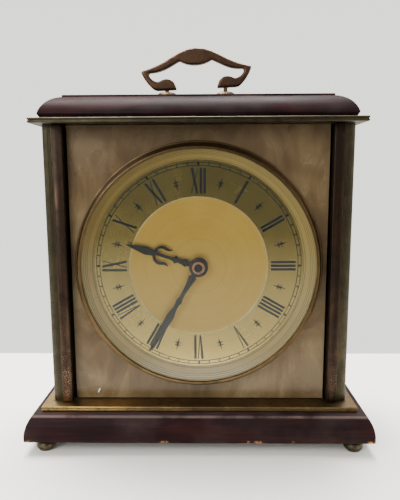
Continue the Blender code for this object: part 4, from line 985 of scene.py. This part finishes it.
def foot(end, hand):
    node = f"foot_{end}_{hand}"
    low, high = box(node)
    centre = ((low.x + high.x) / 2, (low.y + high.y) / 2, 0)
    r, tall = (high.x - low.x) / 2, high.z
    profile = [(0, 0), (r * 0.66, 0), (r * 0.74, 0.12)]
    profile += [(r * (0.78 + 0.22 * math.sin(math.pi * k / 10)), 0.5 + (tall - 2.0) * k / 10)
                for k in range(11)]
    profile += [(r * 0.7, tall - 1.35), (r * 0.7, tall - 1.0), (r * 0.84, tall - 0.8), (r * 0.84, tall),
                (0, tall)]
    return fit(turned(f"bun_{node}", profile, centre, FINISHES["foot_bronze"], "Z", 64, ring=False), node)


hand_nut()
for hand in ("left", "right"):
    rosette(hand)
    for end in ("front", "rear"):
        print(foot(end, hand).name)


# %% Door knob, and the battery
low, high = box("door_knob")
r = (high.z - low.z) / 2
centre = ((low.x + high.x) / 2, 0, (low.z + high.z) / 2)
neck = [(0, low.y), (1.6, low.y), (1.6, low.y + 0.3), (1.35, low.y + 1.0), (1.5, low.y + 2.1),
        (r - 0.5, low.y + 2.9)]
rise, dome = 2.2, []
for k in range(12):
    angle = math.pi / 2 * k / 12
    dome.append((r * math.cos(angle), high.y - rise + rise * math.sin(angle)))
door_knob = turned("turned_door_knob", neck + dome + [(0, high.y)], centre, FINISHES["bright_brass"],
                   sides=96, ring=False)
print(fit(door_knob, "door_knob").name)

low, high = box("battery")
r = (high.z - low.z) / 2
centre = (0, (low.y + high.y) / 2, (low.z + high.z) / 2)
cell = [(0, low.x), (2.3, low.x), (2.6, low.x + 0.25), (2.6, low.x + 1.2), (r - 1.0, low.x + 1.35),
        (r - 0.15, low.x + 1.6), (r, low.x + 2.1), (r, high.x - 0.6), (r - 0.3, high.x - 0.15),
        (r - 0.8, high.x), (r - 1.4, high.x - 0.15), (0, high.x - 0.15)]
battery = turned("sleeved_battery", cell, centre, FINISHES["battery_case"], "X", 96, ring=False)
print(fit(battery, "battery").name)

# %% [markdown]
# The setting knob's grip is a ring of ribs, made by the same tree as the minute ticks and then
# joined to the turned body, because the two are moulded as one.


# %% Setting knob
def set_knob():
    low, high = box("set_knob")
    r = (high.x - low.x) / 2
    centre = Vector(((low.x + high.x) / 2, 0, (low.z + high.z) / 2))
    bore = 0.92
    body = [(bore, low.y), (r - 0.9, low.y), (r - 0.5, low.y + 0.4), (r - 0.5, high.y - 0.8),
            (r - 1.3, high.y), (1.6, high.y), (1.4, high.y - 0.3), (0, high.y - 0.3), (0, low.y + 2.4),
            (bore, low.y + 2.4)]
    knob_body = turned("ribbed_knob", body, centre, FINISHES["black_plastic"], sides=96)
    outline = [(-0.32, -0.5), (0.32, -0.5), (0.3, 0.2), (0.12, 0.42), (-0.12, 0.42), (-0.3, 0.2)]
    rings = [[(x, y, z) for x, z in outline] for y in (low.y + 0.5, high.y - 0.9)]
    rib = skin("rib", rings, FINISHES["black_plastic"])
    ribs = ring_of("knob_ribs", rib, 24, r - 0.45, FINISHES["black_plastic"], centre)
    with bpy.context.temp_override(active_object=knob_body, selected_editable_objects=[knob_body, ribs]):
        bpy.ops.object.join()
    return fit(knob_body, "set_knob")


print(set_knob().name)

# %% [markdown]
# ## Handle
# The handle is a flat sand casting. A cast edge is never sharp, and the flow of the metal rounds
# inner corners too. Remeshing the model's piece into small cells and then relaxing them rounds
# both at once, which a bevel cannot do on so curved an outline.


# %% Handle
def handle():
    cast = as_piece("cast_handle", welded("handle"), FINISHES["handle_bronze"], 60)
    remesh = cast.modifiers.new("cells", "REMESH")
    remesh.mode, remesh.voxel_size, remesh.use_smooth_shade = "VOXEL", 0.34 * MM, True
    relax = cast.modifiers.new("relax", "SMOOTH")
    relax.factor, relax.iterations = 0.5, 6
    mesh = applied(cast)
    cast.modifiers.clear()
    cast.data = mesh
    mesh.shade_smooth()
    return fit(cast, "handle")


cast = handle()
print(cast.name, len(cast.data.polygons), "faces")

# %% [markdown]
# ## Everything else
# The remaining pieces keep the model's shape. They are mostly inside the movement, and each gets
# the finish of its own slot.

# %% Finishes on the model's own pieces
kept = [name for name, thing in NODES.items() if not thing.hide_render]
for name in kept:
    NODES[name].data.materials[0] = FINISHES[SLOT_OF[name]]
NODES["cannon_pinion"].data.materials[0] = FINISHES["bronze"]  # its end shows in the hand nut, browned
print(len(kept), "pieces kept from the model:", ", ".join(sorted(kept)))

# %% [markdown]
# ## Room
# A pale worktop, a soft window on the left, a weaker one on the right, a big soft light overhead,
# and a room that is bright behind the clock and dim behind the viewer. The room matters most for
# the metal, which shows dark wherever the room it faces is dark.

# %% Worktop
WORKTOP_W, WORKTOP_FRONT, WORKTOP_BACK = 4.0, -1.0, 0.12  # metres; it ends close behind the clock
WORKTOP_L, WORKTOP_MIDDLE = WORKTOP_BACK - WORKTOP_FRONT, (WORKTOP_FRONT + WORKTOP_BACK) / 2
bpy.ops.mesh.primitive_plane_add(size=1, location=(0, WORKTOP_MIDDLE, 0))
worktop = bpy.context.object
worktop.scale = (WORKTOP_W, WORKTOP_L, 1)
worktop.name = "worktop"
pale = Finish("worktop")
tone = pale.mix(pale.noise(160, 4) * 0.15, (0.93, 0.90, 0.82), (0.88, 0.85, 0.78))
# The plane is one unit long before it is scaled, so this is the place along it in metres. A painted
# shadow, the viewer's, darkens it in front of the clock, or the glass would mirror it too strongly.
place = pale.y / 1000 * WORKTOP_L + WORKTOP_MIDDLE
painted_viewer_shadow = place.fade(-0.09, -0.19) * 0.76 + place.fade(-0.3, -0.95) * 0.18
tone = pale.mix(painted_viewer_shadow, tone, (0.03, 0.028, 0.025))
worktop.data.materials.append(pale.surface(tone, 0.45))


# %% Lights
def softbox(name, place, target, width, height, power, colour=(1, 1, 1)):
    data = bpy.data.lights.new(name, "AREA")
    data.shape, data.size, data.size_y, data.energy, data.color = "RECTANGLE", width, height, power, colour
    light = bpy.data.objects.new(name, data)
    light.location = place
    light.rotation_euler = (Vector(target) - Vector(place)).to_track_quat("-Z", "Y").to_euler()
    bpy.context.scene.collection.objects.link(light)


softbox("overhead", (-0.1, 0.3, 1.15), (0, 0, 0.05), 1.0, 0.6, 62.0)
softbox("window", (-0.7, -0.85, 0.62), (0, 0, 0.12), 0.6, 0.7, 15.0, (0.95, 0.98, 1.0))
softbox("fill", (0.9, -0.6, 0.5), (0, 0, 0.1), 0.7, 0.7, 4.5, (1.0, 0.95, 0.88))


# %% World
def room():
    world = bpy.data.worlds.new("room")
    world.use_nodes = True
    bpy.context.scene.world = world
    tree = Tree(world.node_tree)
    tree.tree.nodes.clear()
    way = tree.node("ShaderNodeTexCoord", out="Generated")
    back = tree.node("ShaderNodeSeparateXYZ", inputs={0: way}, out=1).fade(-0.55, 0.1)
    up = tree.node("ShaderNodeSeparateXYZ", inputs={0: way}, out=2).fade(0.25, 0.9)
    side = tree.mix(back, (0.135, 0.145, 0.15), (1.75, 1.75, 1.66))
    sky = tree.mix(up, side, (0.75, 0.76, 0.77))
    light = tree.node("ShaderNodeBackground", inputs={"Color": sky, "Strength": 1.0})
    tree.node("ShaderNodeOutputWorld", inputs={"Surface": light}, out=None)


room()
print("room ready")
